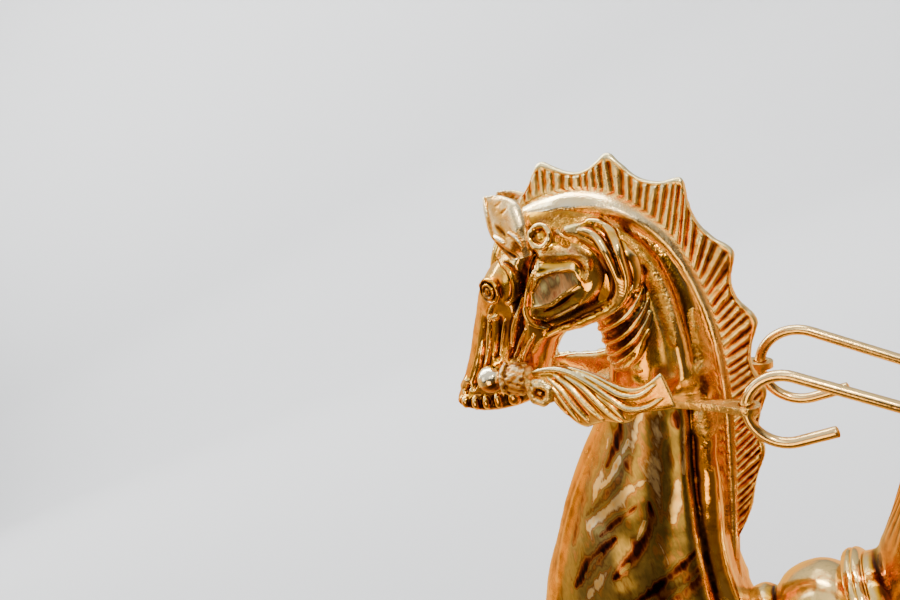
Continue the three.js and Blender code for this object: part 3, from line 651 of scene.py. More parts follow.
headValues = {
    "sections": [   # face x, z, jaw x, z, half width, power
        (42, 301, 51, 288, 15.5, 0.6), (26, 304, 56.5, 274, 20.5, 0.5), (9, 305, 54, 259, 21.5, 0.5),
        (-8, 304, 42, 250.6, 21.5, 0.56), (-23, 300.5, 18, 248, 21, 0.7),
        (-37.8, 291.4, -4, 247.5, 18.5, 0.8), (-48.9, 278.6, -15.5, 239, 15, 0.85),
        (-59, 265.6, -24.5, 229.5, 12.5, 0.85), (-69.6, 252.3, -33, 222, 12, 0.85),
        (-80, 241, -42, 217.6, 12.5, 0.85), (-85.8, 235.5, -55, 218, 12.5, 0.85),
        (-87, 231.5, -68, 220.5, 9, 0.9), (-85.6, 229, -76, 223.5, 4, 1)],
    "around": 250, "rows": 300, "waves": (0.10, 9, 5), "discWaves": (0.18, 5, 8), "ground": 0.29,
    "facetReflectionEdge": 1.4, "discRows": 44, "discAround": 56,
    "facets": [     # outlines of x, z and distance from the middle plane: the cheek's upper and lower faces
        [(-6.5, 269.7, 19.6), (-3.9, 277.4, 18.6), (3.2, 283.3, 19.2), (13.7, 283.3, 20.4),
        (24.5, 279.5, 20.8),
         (24.1, 271.2, 22.6), (13.4, 270, 23.2), (4.3, 267.4, 22.4)],
        [(-10.4, 264.8, 17.4), (-6.5, 269.7, 19.6), (4.3, 267.4, 22.4), (13.4, 270, 23.2),
        (24.1, 271.2, 22.6),
         (25.5, 266.6, 20), (17.5, 261.4, 17.8), (6.8, 260.2, 17), (-3.8, 259.4, 16.4)]],
    "carving": [
        ("soft", 4.0, -3.8, (22, 297), (32, 291), (37, 283), (38, 273), (34, 264), (26, 258.6), (12, 256.3),
         (-2, 255.4), (-9, 257.5)),
        ("edge", 0.6, 1.1, (-6.5, 269.7), (4.3, 267.4), (13.4, 270), (24.1, 271.2)),
        ("edge", 0.6, 1.1, (-3.9, 277.4), (3.2, 283.3), (13.7, 283.3), (24.5, 279.5), (24.1, 271.2)),
        ("edge", 0.8, 1.3, (11.4, 294.1), (18.5, 290.4), (27.1, 287.4), (32.6, 283.4), (31.7, 276.6),
         (27.7, 271)),
        ("soft", 1.8, -1.3, (10, 289.5), (18, 286.5), (26, 283.5), (28, 277)),
        ("soft", 1.0, -1.6, (26.0, 304.9), (26.1, 300.5), (31.6, 294.3)),
        ("soft", 1.0, -1.6, (21.1, 305.4), (21.4, 298.1), (25.6, 292.5)),
        ("soft", 3.6, -6.0, (4, 296), (-1.5, 290), (-5.8, 282), (-12, 274)),
        ("cord", 2.2, 3.4, (-14.5, 298), (-10.0, 294), (-9.0, 287.2), (-11.8, 280.6), (-16.6, 277.2),
         (-20.5, 276.9)),
        ("cord", 1.8, 2.4, (4, 288), (-2.8, 283), (-8.8, 275.6), (-12.1, 270.6), (-13, 264.4), (-10.8, 258.7),
         (-6.5, 253.8)),
        ("soft", 2.6, -2.6, (-15, 273), (-19, 264), (-27, 255), (-36, 246)),
        ("cord", 1.7, 2.2, (-11, 277), (-15.3, 271.8), (-24.5, 262.4), (-32.6, 252.3)),
        ("cord", 1.2, 1.5, (-18, 260), (-25.0, 254.7), (-30.3, 250.0), (-35.6, 245.4)),
        ("cord", 1.2, 1.5, (-15, 255), (-22.0, 250.7), (-27.8, 245.9), (-31.3, 241.9)),
        ("cord", 1.2, 1.4, (-26, 270), (-29.7, 265.9), (-36.8, 257.9), (-42.4, 250.6)),
        ("soft", 1.9, -1.8, (-30, 271), (-36, 261.5), (-45, 250.5)),
        ("cord", 1.5, 1.9, (-29, 279.5), (-33.2, 276.8), (-41.0, 266.4), (-50.2, 252.2), (-58, 243)),
        ("soft", 2.2, -1.9, (-40, 273), (-50, 260), (-60, 248), (-68, 240)),
        ("soft", 1.4, 1.4, (-35.5, 272.6), (-31, 272.2)),
        ("soft", 1.3, -3.0, (-76, 237.6), (-73, 239.6)), ("soft", 1.8, 1.4, (-79, 240.5), (-73, 243)),
        ("edge", 0.8, 1.2, (-46, 262), (-52.4, 250.5), (-62, 240), (-70, 235)),
        ("soft", 1.5, -1.6, (-50, 260), (-60, 247), (-70, 238)),
    ],
    "rims": [       # raised right round on to the back of the jowl and under the lips
        ("cord", 2.5, 3.2, (39, 300), (42.5, 298.2), (46.5, 295.0), (48.6, 288.4), (49.3, 281), (48.8, 274),
         (46.9, 266), (42.4, 258.8), (36, 254.6), (28, 252.9), (16.3, 251.9), (5.8, 251.3), (-4.4, 251.9),
         (-11.4, 251.2)),
        ("cord", 2.3, 3.0, (34.5, 297.4), (37.2, 296), (41.2, 291.4), (43.4, 284.6), (44.2, 277.6),
         (44.0, 271.2),
         (42.8, 265.2), (39.8, 260.4), (33.8, 256.6)),
        ("cord", 2.4, 1.7, (-79.5, 228), (-78.5, 231.5), (-77.5, 235)),
        ("cord", 2.5, 1.9, (-72.5, 225), (-71.5, 229), (-70, 233)),
        ("cord", 2.6, 2.0, (-65.5, 223), (-64.5, 227), (-63, 231.5)),
        ("cord", 2.7, 2.1, (-58, 221.5), (-57, 225.5), (-55.5, 230)),
        ("cord", 3.8, 2.4, (-48.5, 219.5), (-47.5, 223.5), (-46, 228)),
        ("soft", 1.4, -0.5, (-82, 236), (-74, 235.4), (-66, 233.6)),
    ],
    "rough": [(4, 0.8, (2, 303), (16, 303), (26, 305)),
              (3.2, 0.9, (9, 293.5), (20, 291), (29, 286), (32, 277)), (2.4, 0.8, (31, 279), (27, 272)),
              (4, 0.8, (-31, 246), (-37, 237)), (3, 0.6, (-16, 300), (-8, 299))],
    "reflectionPatches": [  # where the cheek is rougher and shows painted dark reflections
        (3.4, 1.0, (-9, 259.5), (2.7, 257.3), (15.1, 258.8), (23.8, 260.2), (30.3, 263.2)),
        (3.2, 1.0, (38.0, 284), (38.6, 273.5), (35.6, 265.4), (29, 261)),
        (4.4, 0.95, (21, 303), (30, 302), (36, 298)),
        (3.6, 0.9, (10, 291), (20, 290), (30, 288), (34, 282)),
        (3.0, 1.0, (2, 296), (-5, 289.1), (-11.6, 278.9), (-19, 270))],
    "tones": [      # painted reflections and highlights, over a brown ground
        (2.6, 0.20, (-7, 264.5), (4.9, 262.5), (15, 264.5), (23, 268)),
        (1.1, -0.4, (-3, 264.9), (8.2, 266.3), (19, 268.6)),
        (0.8, 0.42, (-6.5, 269.7), (4.3, 267.4), (13.4, 270), (24.1, 271.2), (24.5, 279.5)),
        (3.2, -0.24, (-9, 259), (2.7, 256.6), (15.1, 258.2), (23.8, 259.6), (31, 263)),
        (3.0, -0.20, (38.4, 282), (38.8, 273.5), (35.4, 265), (29.5, 260.5)),
        (1.2, 0.30, (38.6, 281), (39, 272)),
        (3.4, -0.24, (2, 296), (-5, 289.1), (-11.6, 278.9), (-19, 270)), (4, 0.10, (2, 276), (14, 279)),
        (0.8, -0.25, (26.4, 304.5), (28.1, 298.7), (32.8, 294.5)),
        (3.2, 0.16, (10, 290), (20, 288), (28, 284)), (2.2, 0.12, (24, 302), (34, 300))],
    "shades": [     # painted shade, highlight and reflection: deeper or paler metal
        (2.6, 0.55, (-12, 298.1), (-9.8, 292), (-10.0, 285.1), (-13.4, 280), (-19, 277.6)),
        (6.5, 0.20, (-28.2, 286.2)), (2.0, 0.45, (-20, 291), (-19.5, 285), (-22, 281)),
        (5.5, 0.42, (-84, 232), (-70, 228), (-58, 225), (-44, 223)),
        (1.8, 0.45, (41.6, 268), (39.5, 262.6), (32, 258.2)), (1.6, 0.30, (5.2, 288.2), (9.8, 284.8)),
        (1.8, 0.20, (47.5, 268), (42.4, 258.8), (34, 254.2)),
        (2.4, 0.34, (35, 300.6), (40, 299.6), (46.5, 295), (48.8, 288), (49.4, 280), (48.8, 273),
         (46.6, 265.6)), (2.2, 0.20, (36, 296.6), (41.3, 291.3), (43.6, 284), (44.2, 276), (43.6, 269)),
        (3.0, 0.46, (36, 254.6), (28, 252.9), (16.3, 251.9), (5.8, 251.3), (-4.4, 251.9), (-11.4, 251.2)),
        (7, -0.10, (-2, 250), (-12, 242), (-22, 234)),
        (3.6, 0.22, (-37, 291), (-48.6, 278.6), (-59, 265.6), (-69.6, 252.3), (-80, 241)),
        (2.6, 0.16, (-33, 268), (-44, 254), (-54, 243)), (3.4, 0.16, (-24, 268), (-33, 258), (-41, 248)),
        (3, 0.12, (-28, 246), (-22, 252)), (1.2, 0.3, (47, 286), (46.7, 276), (44.6, 267))],
    "rosette": {"start": (14, -17.2, 302), "direction": (0, -0.94, 0.34), "shade": 0.06, "inside": 4.6,
                "profile": [(0, 0), (0, 6.4), (1.8, 7.2), (3.0, 7.0), (3.6, 6.0), (3.2, 4.7), (2.0, 3.6),
                            (1.6, 2.4), (2.1, 1.2), (2.3, 0)]},
    "eye": {"start": (-27.2, -14.2, 286.6), "direction": (-0.40, -0.9, 0.1), "shade": 0.50, "inside": 9,
            "profile": [(0, 0), (0, 7.0), (1.6, 7.9), (3.2, 7.7), (3.8, 6.8), (3.1, 5.9), (2.3, 5.4),
                        (3.1, 4.9), (4.2, 4.4), (4.4, 3.7), (3.4, 3.1), (3.4, 2.5), (4.4, 1.7), (4.8, 0)]},
}
rows = smoothRows(headValues["sections"], headValues["rows"], middles)
head = wrapBody("headPiece", closeEnds(crossRings(rows, headValues["around"]), (0, 2)))
for corners in headValues["facets"]:
    facet(head, corners)
carve(head, headValues["carving"])
carve(head, headValues["rims"], (-0.2, 0.1))
ripple(head, *headValues["waves"])
soften(head, 1)
paint(head, "cast", headValues["rough"])
paint(head, "mottle", headValues["reflectionPatches"])
# the cheek's flat faces take the painted reflections too
for corners in headValues["facets"]:
    facetReflection = insideOutline(pointsOf(head)[:, [0, 2]], np.array(corners)[:, :2], headValues["facetReflectionEdge"])
    keep(head, "mottle", np.maximum(kept(head, "mottle"), facetReflection))
paint(head, "tone", headValues["tones"], (-0.1, 0), headValues["ground"])
paint(head, "shade", headValues["shades"], (-0.1, 0.1), 0)
discs = []
for values in (headValues["rosette"], headValues["eye"]):
    rows = smoothRows(values["profile"], headValues["discRows"])
    disc = spinBody("disc", rows, values["start"], values["direction"], headValues["discAround"])
    away = pointsOf(disc) - values["start"]
    away -= np.outer(away @ np.array(values["direction"]), values["direction"])
    # painted shade and reflection: deeper colour over the eye and in the rosette's centre
    within = softStep(-np.linalg.norm(away, axis=1), -values["inside"], 1 - values["inside"])
    keep(disc, "shade", values["shade"] * within)
    ripple(disc, *headValues["discWaves"])
    discs += [disc, mirrored(disc, "otherDisc")]
head = joined("headPiece", [head] + discs)
finishPiece(head, "polished", "root", "head")
print("head done")

# crest strip

crestValues = {
    "stations": [   # outer x, z, middle x, z, half width, power: broad as a saddle over the head, then a bead
        (-3, 321.5, -2, 318.5, 4, 1.2), (5.4, 321.8, 7, 316.8, 9, 1.25),
        (15, 322.4, 15.8, 314.2, 11.2, 1.3), (25, 321.6, 23.4, 312.6, 12.6, 1.35),
        (35, 319.2, 31.9, 310.4, 12.8, 1.35), (44, 315, 40.5, 307.2, 12.8, 1.3),
        (52.5, 309, 47.8, 303, 12.3, 1.25), (59.5, 301, 55, 297, 11.4, 1.2),
        (65, 292.3, 61.2, 289.3, 10, 1.1), (69.5, 283, 65.6, 280.8, 8, 1),
        (73.2, 272, 69.1, 270.9, 6.8, 1), (75.2, 260, 71.3, 259.5, 6.2, 1),
        (75.8, 248.8, 72, 248.6, 5.8, 1), (74.8, 225.8, 71.2, 226.2, 5.4, 1),
        (70.6, 204, 67.1, 204.8, 5, 1), (64.6, 182.4, 61.2, 183.5, 5.2, 1),
        (56.9, 161, 53.7, 162.2, 5.2, 1), (46.3, 133.9, 43.2, 135.1, 5, 1),
        (36.9, 110.9, 33.9, 112, 4.4, 1), (30.2, 94, 27.2, 95, 4, 1), (26.8, 83.3, 24.5, 84, 2.6, 1)],
    "around": 72, "rows": 420, "waves": (0.06, 4, 11), "wavesBelow": 290, "beadHollow": 0.54,
    "rough": [(2.6, 0.55, (30, 309), (40, 306), (49, 301.5), (56, 294.5), (62, 285))],
}


# rings across a bent bar: x, z, half width, half thickness and power, and its distance from the middle plane
def barRings(rows, around, out=0):
    along = np.gradient(rows[:, :2], axis=0)
    along /= np.linalg.norm(along, axis=1)[:, None]
    across = np.stack([-along[:, 1], along[:, 0]], axis=1)
    table = [(*(row[:2] - across[i] * row[3]), *(row[:2] + across[i] * row[3]), row[2],
              row[4] if len(row) > 4 else 1) for i, row in enumerate(rows)]
    return crossRings(table, around, np.zeros(len(rows)) + out)


rows = smoothRows(crestValues["stations"], crestValues["rows"], firsts)
rows[:, 2:4] = 2 * rows[:, 2:4] - rows[:, :2]
crest = wrapBody("crestStrip", closeEnds(crossRings(rows, crestValues["around"]), (2, 1)))
ripple(crest, *crestValues["waves"], lambda p: softStep(crestValues["wavesBelow"] - p[:, 2], 0, 30))
paint(crest, "cast", crestValues["rough"], (-0.1, 0))
points = pointsOf(crest)
bead = softStep(-points[:, 2], -240, -195)       # painted highlight: the bead down the back of the trunk is one even bright gold, without crease shade
# painted shade: the saddle over the head darker towards the back
keep(crest, "shade", 0.10 * softStep(points[:, 0], 22, 48) * softStep(points[:, 2], 288, 300))
keep(crest, "polish", softStep(points[:, 2], 296, 306) * softStep(-points[:, 0], -52, -34))
markHollows(crest, 0.8, 4)
keep(crest, "hollow", kept(crest, "hollow") * (1 - bead) + crestValues["beadHollow"] * bead)
finishPiece(crest, "strip", "root", "crest_bead", mark=False)
print("crest done")

# mane fin

finValues = {
    "start": (3.5, 325.5), "firstDip": (12.5, 329), "end": (36.5, 110.5),
    "teeth": [      # tip x, z, following valley x, z, then where their ribs spring from the crest, x, z
        (25, 337, 41, 323.4, 17, 322, 36, 313), (60, 325.5, 71, 304.8, 52, 302, 61.5, 289),
        (88.5, 297.5, 85.5, 275, 70, 269, 73, 255), (95.5, 252.5, 86.8, 237.5, 73, 239, 72.8, 229),
        (91.5, 217, 80.4, 200, 69.5, 210, 65.5, 195), (80.9, 180.5, 69.6, 165.2, 58.5, 172, 51.5, 155),
        (67.5, 150.8, 57.5, 138, 46.5, 142, 41, 128.5), (48.9, 124.5, 43, 116.2, 36.5, 118, 33, 110)],
    "root": (2, 321), "rootDip": (10, 322), "tail": (31, 104),
    "ribs": 57, "ribHeight": 1.8, "betweenRibs": 1.0, "rimDepth": 2.25, "rimReach": 1.0, "tipRimReach": 1.7,
    "perTooth": 56, "across": 26, "roundTips": 8.0, "tipReach": 4.7, "waves": (0.12, 5, 12),
}


# points along a scallop from one tip through its dip to the next tip
def scallop(start, dip, end, count):
    start, dip, end = (np.array(p, float) for p in (start, dip, end))
    control = 2 * dip - (start + end) / 2
    t = np.linspace(0, 1, count + 1)[:-1, None]
    return (1 - t) ** 2 * start + 2 * t * (1 - t) * control + t**2 * end


def finEdges():
    teeth = []
    for row in finValues["teeth"]:      # pushed out by what the rounding takes off
        out = np.array(row[:2]) - (np.array(row[4:6]) + np.array(row[6:8])) / 2
        teeth.append(np.array(row[:2]) + out / np.linalg.norm(out) * finValues["tipReach"])
    tips = [finValues["start"]] + teeth + [finValues["end"]]
    dips = [finValues["firstDip"]] + [row[2:4] for row in finValues["teeth"]]
    roots = [finValues["root"]] + [row[4:6] for row in finValues["teeth"]] + [finValues["tail"]]
    rootDips = [finValues["rootDip"]] + [row[6:8] for row in finValues["teeth"]]
    edge, foot = [], []
    for i, dip in enumerate(dips):
        edge.append(scallop(tips[i], dip, tips[i + 1], finValues["perTooth"]))
        foot.append(scallop(roots[i], rootDips[i], roots[i + 1], finValues["perTooth"]))
    edge, foot = np.vstack(edge + [[tips[-1]]]), np.vstack(foot + [[roots[-1]]])
    run = runAlong(edge)
    weight = np.exp(-((run[:, None] - run[None, :]) / finValues["roundTips"]) ** 2)
    step = np.gradient(run)
    rounded = (weight * step) @ edge / (weight * step).sum(axis=1)[:, None]
    rounded[0], rounded[-1] = edge[0], edge[-1]
    return rounded, foot


edge, foot = finEdges()
run = runAlong(foot)
phase = run / run[-1] * finValues["ribs"] * math.pi
tips = np.array([row[:2] for row in finValues["teeth"]], float)
tipness = np.exp(-(np.linalg.norm(edge[:, None] - tips[None], axis=2).min(axis=1) / 7) ** 2)
rimReach = finValues["rimReach"] + finValues["tipRimReach"] * tipness     # broader at the tips
columns = []
flankSteps = 1 - (1 - np.linspace(0, 1, finValues["across"])) ** 1.6      # closer together at the edge
for side in (-1, 1):
    steps = flankSteps if side < 0 else flankSteps[::-1]
    for step in steps:
        wander = 0.35 * np.sin(phase * 0.37 + 2) + 0.25 * np.sin(phase * 1.13 + step * 2)     # uneven ribs
        ribs = np.abs(np.sin(phase + wander)) ** 0.75 * finValues["ribHeight"]
        inward = (1 - step) * np.linalg.norm(edge - foot, axis=1)     # how far in from the edge, mm
        fade = softStep(inward, 0.6, 2.6 + 2.4 * tipness)
        rim = np.clip(1 - np.abs(inward / rimReach - 1) ** 2.4, 0, 1) ** 0.5 * (inward < 2 * rimReach)
        body = (finValues["betweenRibs"] + ribs) * fade
        depth = np.maximum(body, finValues["rimDepth"] * rim)
        flat = foot + (edge - foot) * step
        columns.append(np.stack([flat[:, 0], side * depth, flat[:, 1]], axis=1))
columns.append(columns[0])
fin = wrapBody("maneFin", closeEnds(np.stack(columns, axis=1), (0, 0), 1))
ripple(fin, *finValues["waves"])
soften(fin, 1)
points = pointsOf(fin)
lower = softStep(-points[:, 2], -300, -250)
for x, z in tips:       # painted reflection: deeper red on the lower fin, most on the plain faces at its lower tips
    lower = lower + 0.8 * np.exp(-(np.hypot(points[:, 0] - x + 3, points[:, 2] - z + 3) / 5) ** 2) * (x > 50)
keep(fin, "shade", 0.20 * lower - 0.06)
finishPiece(fin, "fin", "root", "mane_fin", fine=0.3)
print("mane fin done")

# ears and forelock

earValues = {
    "sections": [   # x, z, half length, half thickness, out from the middle plane
        (-1, 299, 6.5, 4.5, 17), (-1.8, 306, 8.8, 5, 16.2), (-2.6, 313, 10.5, 4.8, 14.8),
        (-2.2, 319.5, 10.9, 4.4, 13), (-1.9, 325.5, 10.2, 3.8, 11.6), (-3.2, 330.3, 8.4, 3.2, 10.6),
        (-4.8, 333.2, 6.6, 2.7, 9.8), (-6.0, 335.0, 5.2, 2.2, 9.2), (-6.8, 336.0, 3.6, 1.6, 8.9)],
    "around": 96, "rows": 120, "shade": 0.07, "rough": [(5, 0.35, (-3, 325), (0, 306))],
    "carving": [
        ("soft", 4.0, -1.4, (-6, 331), (-3, 321), (-2, 311)), ("soft", 3.4, 1.2, (5, 322), (6, 312)),
        ("cord", 1.2, 1.2, (-9.4, 335), (-11.2, 327), (-12.2, 319), (-12, 311)),
        ("soft", 1.0, -0.3, (-4.4, 327.8), (-0.6, 328.2)), ("soft", 1.0, -0.3, (-2.6, 322.8), (1.6, 323.6)),
        ("soft", 1.5, -0.5, (-7.5, 317.9), (-5.7, 314.8), (-4.3, 311.2)),
        ("cord", 1.3, 1.6, (-10.6, 313.4), (-8, 310.4), (-5.4, 307.2)),
        ("soft", 1.5, -1.2, (-11.7, 309.2), (-7.8, 303.7), (-3.1, 298.3)),
        ("cord", 1.2, 1.4, (-1.5, 312), (1.4, 308), (3.4, 301))],
    # painted shade and reflection: orange stripes and patches on the ear
    "shades": [(1.8, 0.34, (-7.5, 317.9), (-5.7, 314.8), (-4.3, 311.2)),
               (2.4, 0.36, (-11.7, 309.2), (-7.8, 303.7), (-3.1, 298.3)),
               (1.6, 0.34, (-11.6, 325), (-12.6, 317), (-12.4, 310)), (3.4, 0.3, (-1, 306), (1, 300)),
               (1.0, 0.16, (-4.4, 327.8), (-0.6, 328.2)), (1.0, 0.16, (-2.6, 322.8), (1.6, 323.6))],
}
rows = smoothRows(earValues["sections"], earValues["rows"], firsts)
table = [(x - long, z - 1.5, x + long, z - 3.5, thick, 1) for x, z, long, thick, out in rows]
ear = wrapBody("earLeft", closeEnds(crossRings(table, earValues["around"], -rows[:, 4]), (0, 1)))
carve(ear, earValues["carving"])
soften(ear, 1)
paint(ear, "shade", earValues["shades"], (-0.1, 0), earValues["shade"])
paint(ear, "cast", earValues["rough"])
finishPiece(ear, "strip", "root", "ear_left", fine=0.4, broad=1.6)
finishTwin(ear, "earRight", "root", "ear_right")

forelockValues = {
    "locks": [      # each lock: x, z, y, half thickness along its run
        [(-3, 318, 0, 2.5), (-12, 312, 1, 3.6), (-21, 305, 1.5, 3.4), (-28, 299, 1, 1.4)],
        [(-4, 317, -3.5, 2.4), (-12, 310, -5, 3.2), (-20, 303, -5.5, 3), (-26, 298, -5, 1.2)],
        [(-4, 317, 4, 2.4), (-12, 310, 5.5, 3.2), (-20, 303, 6, 3), (-26, 298, 5.5, 1.2)],
        [(-1, 314, -7, 2), (-8, 307, -9, 2.8), (-14, 300, -9.5, 2.6), (-19, 295, -9, 1)],
        [(-1, 314, 7, 2), (-8, 307, 9, 2.8), (-14, 300, 9.5, 2.6), (-19, 295, 9, 1)]],
    "around": 24, "rows": 40, "flatness": 0.9,
}
locks = []
for path in forelockValues["locks"]:
    rows = smoothRows(path, forelockValues["rows"], firsts)
    bar = np.stack([rows[:, 0], rows[:, 1], rows[:, 3] * forelockValues["flatness"], rows[:, 3]], axis=1)
    locks.append(wrapBody("lock", closeEnds(barRings(bar, forelockValues["around"], rows[:, 2]), (1, 1))))
forelock = joined("forelockLocks", locks)
finishPiece(forelock, "worn", "root", "forelock")
print("ears and forelock done")

# bit ends and rein knobs

bitValues = {
    "profile": [    # along the axis, radius: the drum, its collar, the neck and the ball
        (0, 0), (0, 4), (0.8, 6.4), (2.2, 8.0), (4, 8.8), (7, 9.2), (10, 9.0), (12, 8.5), (12.9, 8.0),
        (13.6, 8.6), (14.7, 9.0), (15.8, 8.8), (16.6, 7.8), (17.1, 6.0), (17.5, 4.9), (18.2, 5.0),
        (19.5, 6.1), (21, 7.0), (23, 7.7), (24.8, 7.9), (26.6, 7.7), (28.4, 7.1), (30, 6.0), (31.3, 4.6),
        (32.2, 2.9), (32.6, 1.4), (32.7, 0)],
    "start": (-25.9, -20.5, 233.7), "direction": (-0.956, 0, 0.293),
    "knobProfile": [(0, 0), (0, 6.4), (1.2, 7.7), (2.6, 8.1), (4.0, 7.6), (5.1, 6.4), (5.5, 5.0),
                    (5.0, 3.6), (4.2, 2.6), (3.8, 1.8), (4.2, 1.0), (4.4, 0)],
    "knob": (-23.6, -20.2, 225.0), "petals": 7, "petalDepth": 0.05, "ballMiddle": 24.8, "drumEnd": 17,
    "drumWaves": (0.42, 3.2, 21), "knobWaves": (0.22, 4, 22), "drumCast": 0.6, "drumShade": 0.40,
    "ballShade": 0.02, "underShade": 0.60, "rows": 90, "knobRows": 48,
}
rows = smoothRows(bitValues["profile"], bitValues["rows"])
bit = spinBody("bitEndLeft", rows, bitValues["start"], bitValues["direction"])
along = (pointsOf(bit) - bitValues["start"]) @ np.array(bitValues["direction"])
drum = softStep(along, 0.5, 2) * softStep(bitValues["drumEnd"] - along, 0.5, 2)
ripple(bit, *bitValues["drumWaves"], lambda p: drum)
keep(bit, "cast", bitValues["drumCast"] * drum)
ball = softStep(along, bitValues["drumEnd"] + 1, bitValues["drumEnd"] + 3)
middle = np.array(bitValues["start"]) + bitValues["ballMiddle"] * np.array(bitValues["direction"])
under = softStep(middle[2] - 0.6 - pointsOf(bit)[:, 2], -0.8, 1.4)       # the lower half of the ball, darker: a painted reflection
ballShade = bitValues["underShade"] * under + bitValues["ballShade"]
keep(bit, "shade", ball * ballShade + bitValues["drumShade"] * drum)
keep(bit, "polish", ball)
finishPiece(bit, "strip", "root", "bit_end_left")
rows = smoothRows(bitValues["knobProfile"], bitValues["knobRows"])
knob = spinBody("reinKnobLeft", rows, bitValues["knob"], (0, -1, 0))
points = pointsOf(knob) - bitValues["knob"]
petal = 1 + bitValues["petalDepth"] * np.cos(bitValues["petals"] * np.arctan2(points[:, 2], points[:, 0]))
setPoints(knob, points * np.stack([petal, np.ones(len(petal)), petal], axis=1) + bitValues["knob"])
ripple(knob, *bitValues["knobWaves"])
spot = np.linalg.norm((pointsOf(knob) - bitValues["knob"])[:, [0, 2]], axis=1)
# painted shade in the knob's sunken centre
keep(knob, "shade", 0.3 * softStep(-spot, -3.4, -1.6))
keep(knob, "cast", 0.35 * softStep(spot, 2, 4))
finishPiece(knob, "leaf", "root", "rein_knob_left")
finishTwin(bit, "bitEndRight", "root", "bit_end_right")
finishTwin(knob, "reinKnobRight", "root", "rein_knob_right")
print("bit ends done")

# leaves of the reins

leafValues = {
    "sections": [   # x, near top z, far top z, bottom z, out from the middle plane, half thickness
        (-26, 237.5, 233, 229, 18.5, 1.6), (-20, 237, 232, 222, 19.5, 2.2),
        (-15, 236.7, 230.8, 207, 20.6, 2.5), (-9, 236, 228.5, 199.5, 21.8, 2.7),
        (-1, 233.7, 226, 199.3, 23.8, 2.8), (7, 230, 225, 199.5, 26.3, 2.8),
        (13, 226, 223, 197.8, 28.2, 2.8), (20, 219.8, 219, 197, 30, 2.8), (26, 215.5, 215.5, 200, 31, 2.8),
        (33, 213.5, 213.5, 199.8, 31.5, 2.6), (40, 214.8, 214.8, 198.5, 31.8, 2.3),
        (46, 217, 217, 198, 31.9, 1.5)],
    "around": 140, "rows": 160, "power": 0.6,
    "carving": [
        ("cord", 2.0, 1.7, (-25, 236.6), (-13.5, 235.8), (-5, 233), (2.4, 228.4), (9, 221.6), (15.9, 212.6),
         (22.6, 205), (32, 203), (42, 205)),
        ("cord", 1.5, 1.4, (3, 230.4), (10, 225), (16, 219), (22.5, 212.8), (30, 210), (42, 212.6)),
        ("cord", 1.8, 1.6, (-6, 231.4), (2.0, 221.9), (7.8, 210.8), (12, 203), (16.4, 197.6)),
        ("cord", 1.8, 1.6, (-11.6, 232.1), (-5.0, 223), (-0.6, 212.4), (5.6, 201)),
        ("cord", 1.7, 1.5, (-16, 231.4), (-10.6, 221.6), (-7.7, 211.9), (-3.8, 202)),
        ("cord", 1.5, 1.4, (-19, 231), (-14.6, 222), (-12.2, 213), (-9.4, 202.4)),
        ("cord", 1.2, 1.2, (-20.4, 226), (-17.4, 217), (-14.6, 208)),
        ("cord", 1.6, 1.5, (9, 216), (14.6, 208.4), (18.6, 199.4)),
        ("soft", 1.2, -0.9, (-8.4, 230), (-1, 219), (4, 206)),
        ("soft", 1.2, -0.9, (-13, 229), (-7.4, 218), (-3, 206)),
    ],
    # painted shade and highlight: deeper orange along ribs and grooves, paler along the top edge
    "shades": [(3, 0.12, (-20, 228), (-16, 214), (-12, 204)), (2.4, 0.16, (-2, 226), (4, 216), (8, 204)),
               (2.6, -0.14, (-24, 237), (-5, 233.4), (9, 222), (20, 207), (34, 203.6)),
               (1.6, 0.2, (6, 222), (13, 212), (19, 203)),
               (1.6, 0.2, (12, 220), (20, 211.5), (28, 206.5), (40, 208))],
}
rows = smoothRows(leafValues["sections"], leafValues["rows"], lambda t: t[:, :1])
for label, side in sides.items():
    top = rows[:, 1] if label == "left" else rows[:, 2]
    power = np.full(len(rows), leafValues["power"])
    table = np.stack([rows[:, 0], rows[:, 3], rows[:, 0], top, rows[:, 5], power], axis=1)
    leaf = wrapBody("reinLeaf" + label.title(),
                    closeEnds(crossRings(table, leafValues["around"], side * rows[:, 4]), (1, 1)))
    carve(leaf, leafValues["carving"], side=side)
    paint(leaf, "shade", leafValues["shades"], base=0)
    soften(leaf, 1)
    finishPiece(leaf, "leaf", "root", "rein_frond_" + label)
print("leaves done")

# neck band, from the frame's own plate with its edges rounded

bandValues = {"bevel": 0.9, "bevelSteps": 3, "sharp": 50, "hollow": 0.40, "cast": 0.35}
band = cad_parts["neck_band"].copy()
band.data = band.data.copy()
bpy.context.collection.objects.link(band)
band.name = "neckBand"
pick(band)
editAll()
bpy.ops.mesh.remove_doubles(threshold=1e-5)
bpy.ops.mesh.customdata_custom_splitnormals_clear()
bpy.ops.mesh.dissolve_limited(angle_limit=math.radians(3))
bpy.ops.object.mode_set(mode="OBJECT")
bevel = band.modifiers.new("edges", "BEVEL")
bevel.width, bevel.segments = bandValues["bevel"] * mm, bandValues["bevelSteps"]
bevel.limit_method, bevel.angle_limit = "ANGLE", math.radians(bandValues["sharp"])
bpy.ops.object.modifier_apply(modifier="edges")
bpy.ops.object.shade_smooth_by_angle(angle=math.radians(40))
for name in ("hollow", "cast"):
    keep(band, name, bandValues[name])
finishPiece(band, "leaf", "root", "neck_band", mark=False)
print("neck band done")

# rein rods

rodValues = {
    "eye": (76.9, 187.6), "slope": 20.5, "legEnd": (152.5, 158), "sideY": 31, "radius": 2.75,
    "shortLeg": 17.5, "curlRadius": 6.5, "curlAngle": 115, "hooks": {"left": 16.9, "right": 19.4},
    "around": 32, "ends": (0.9, 0.9),
}


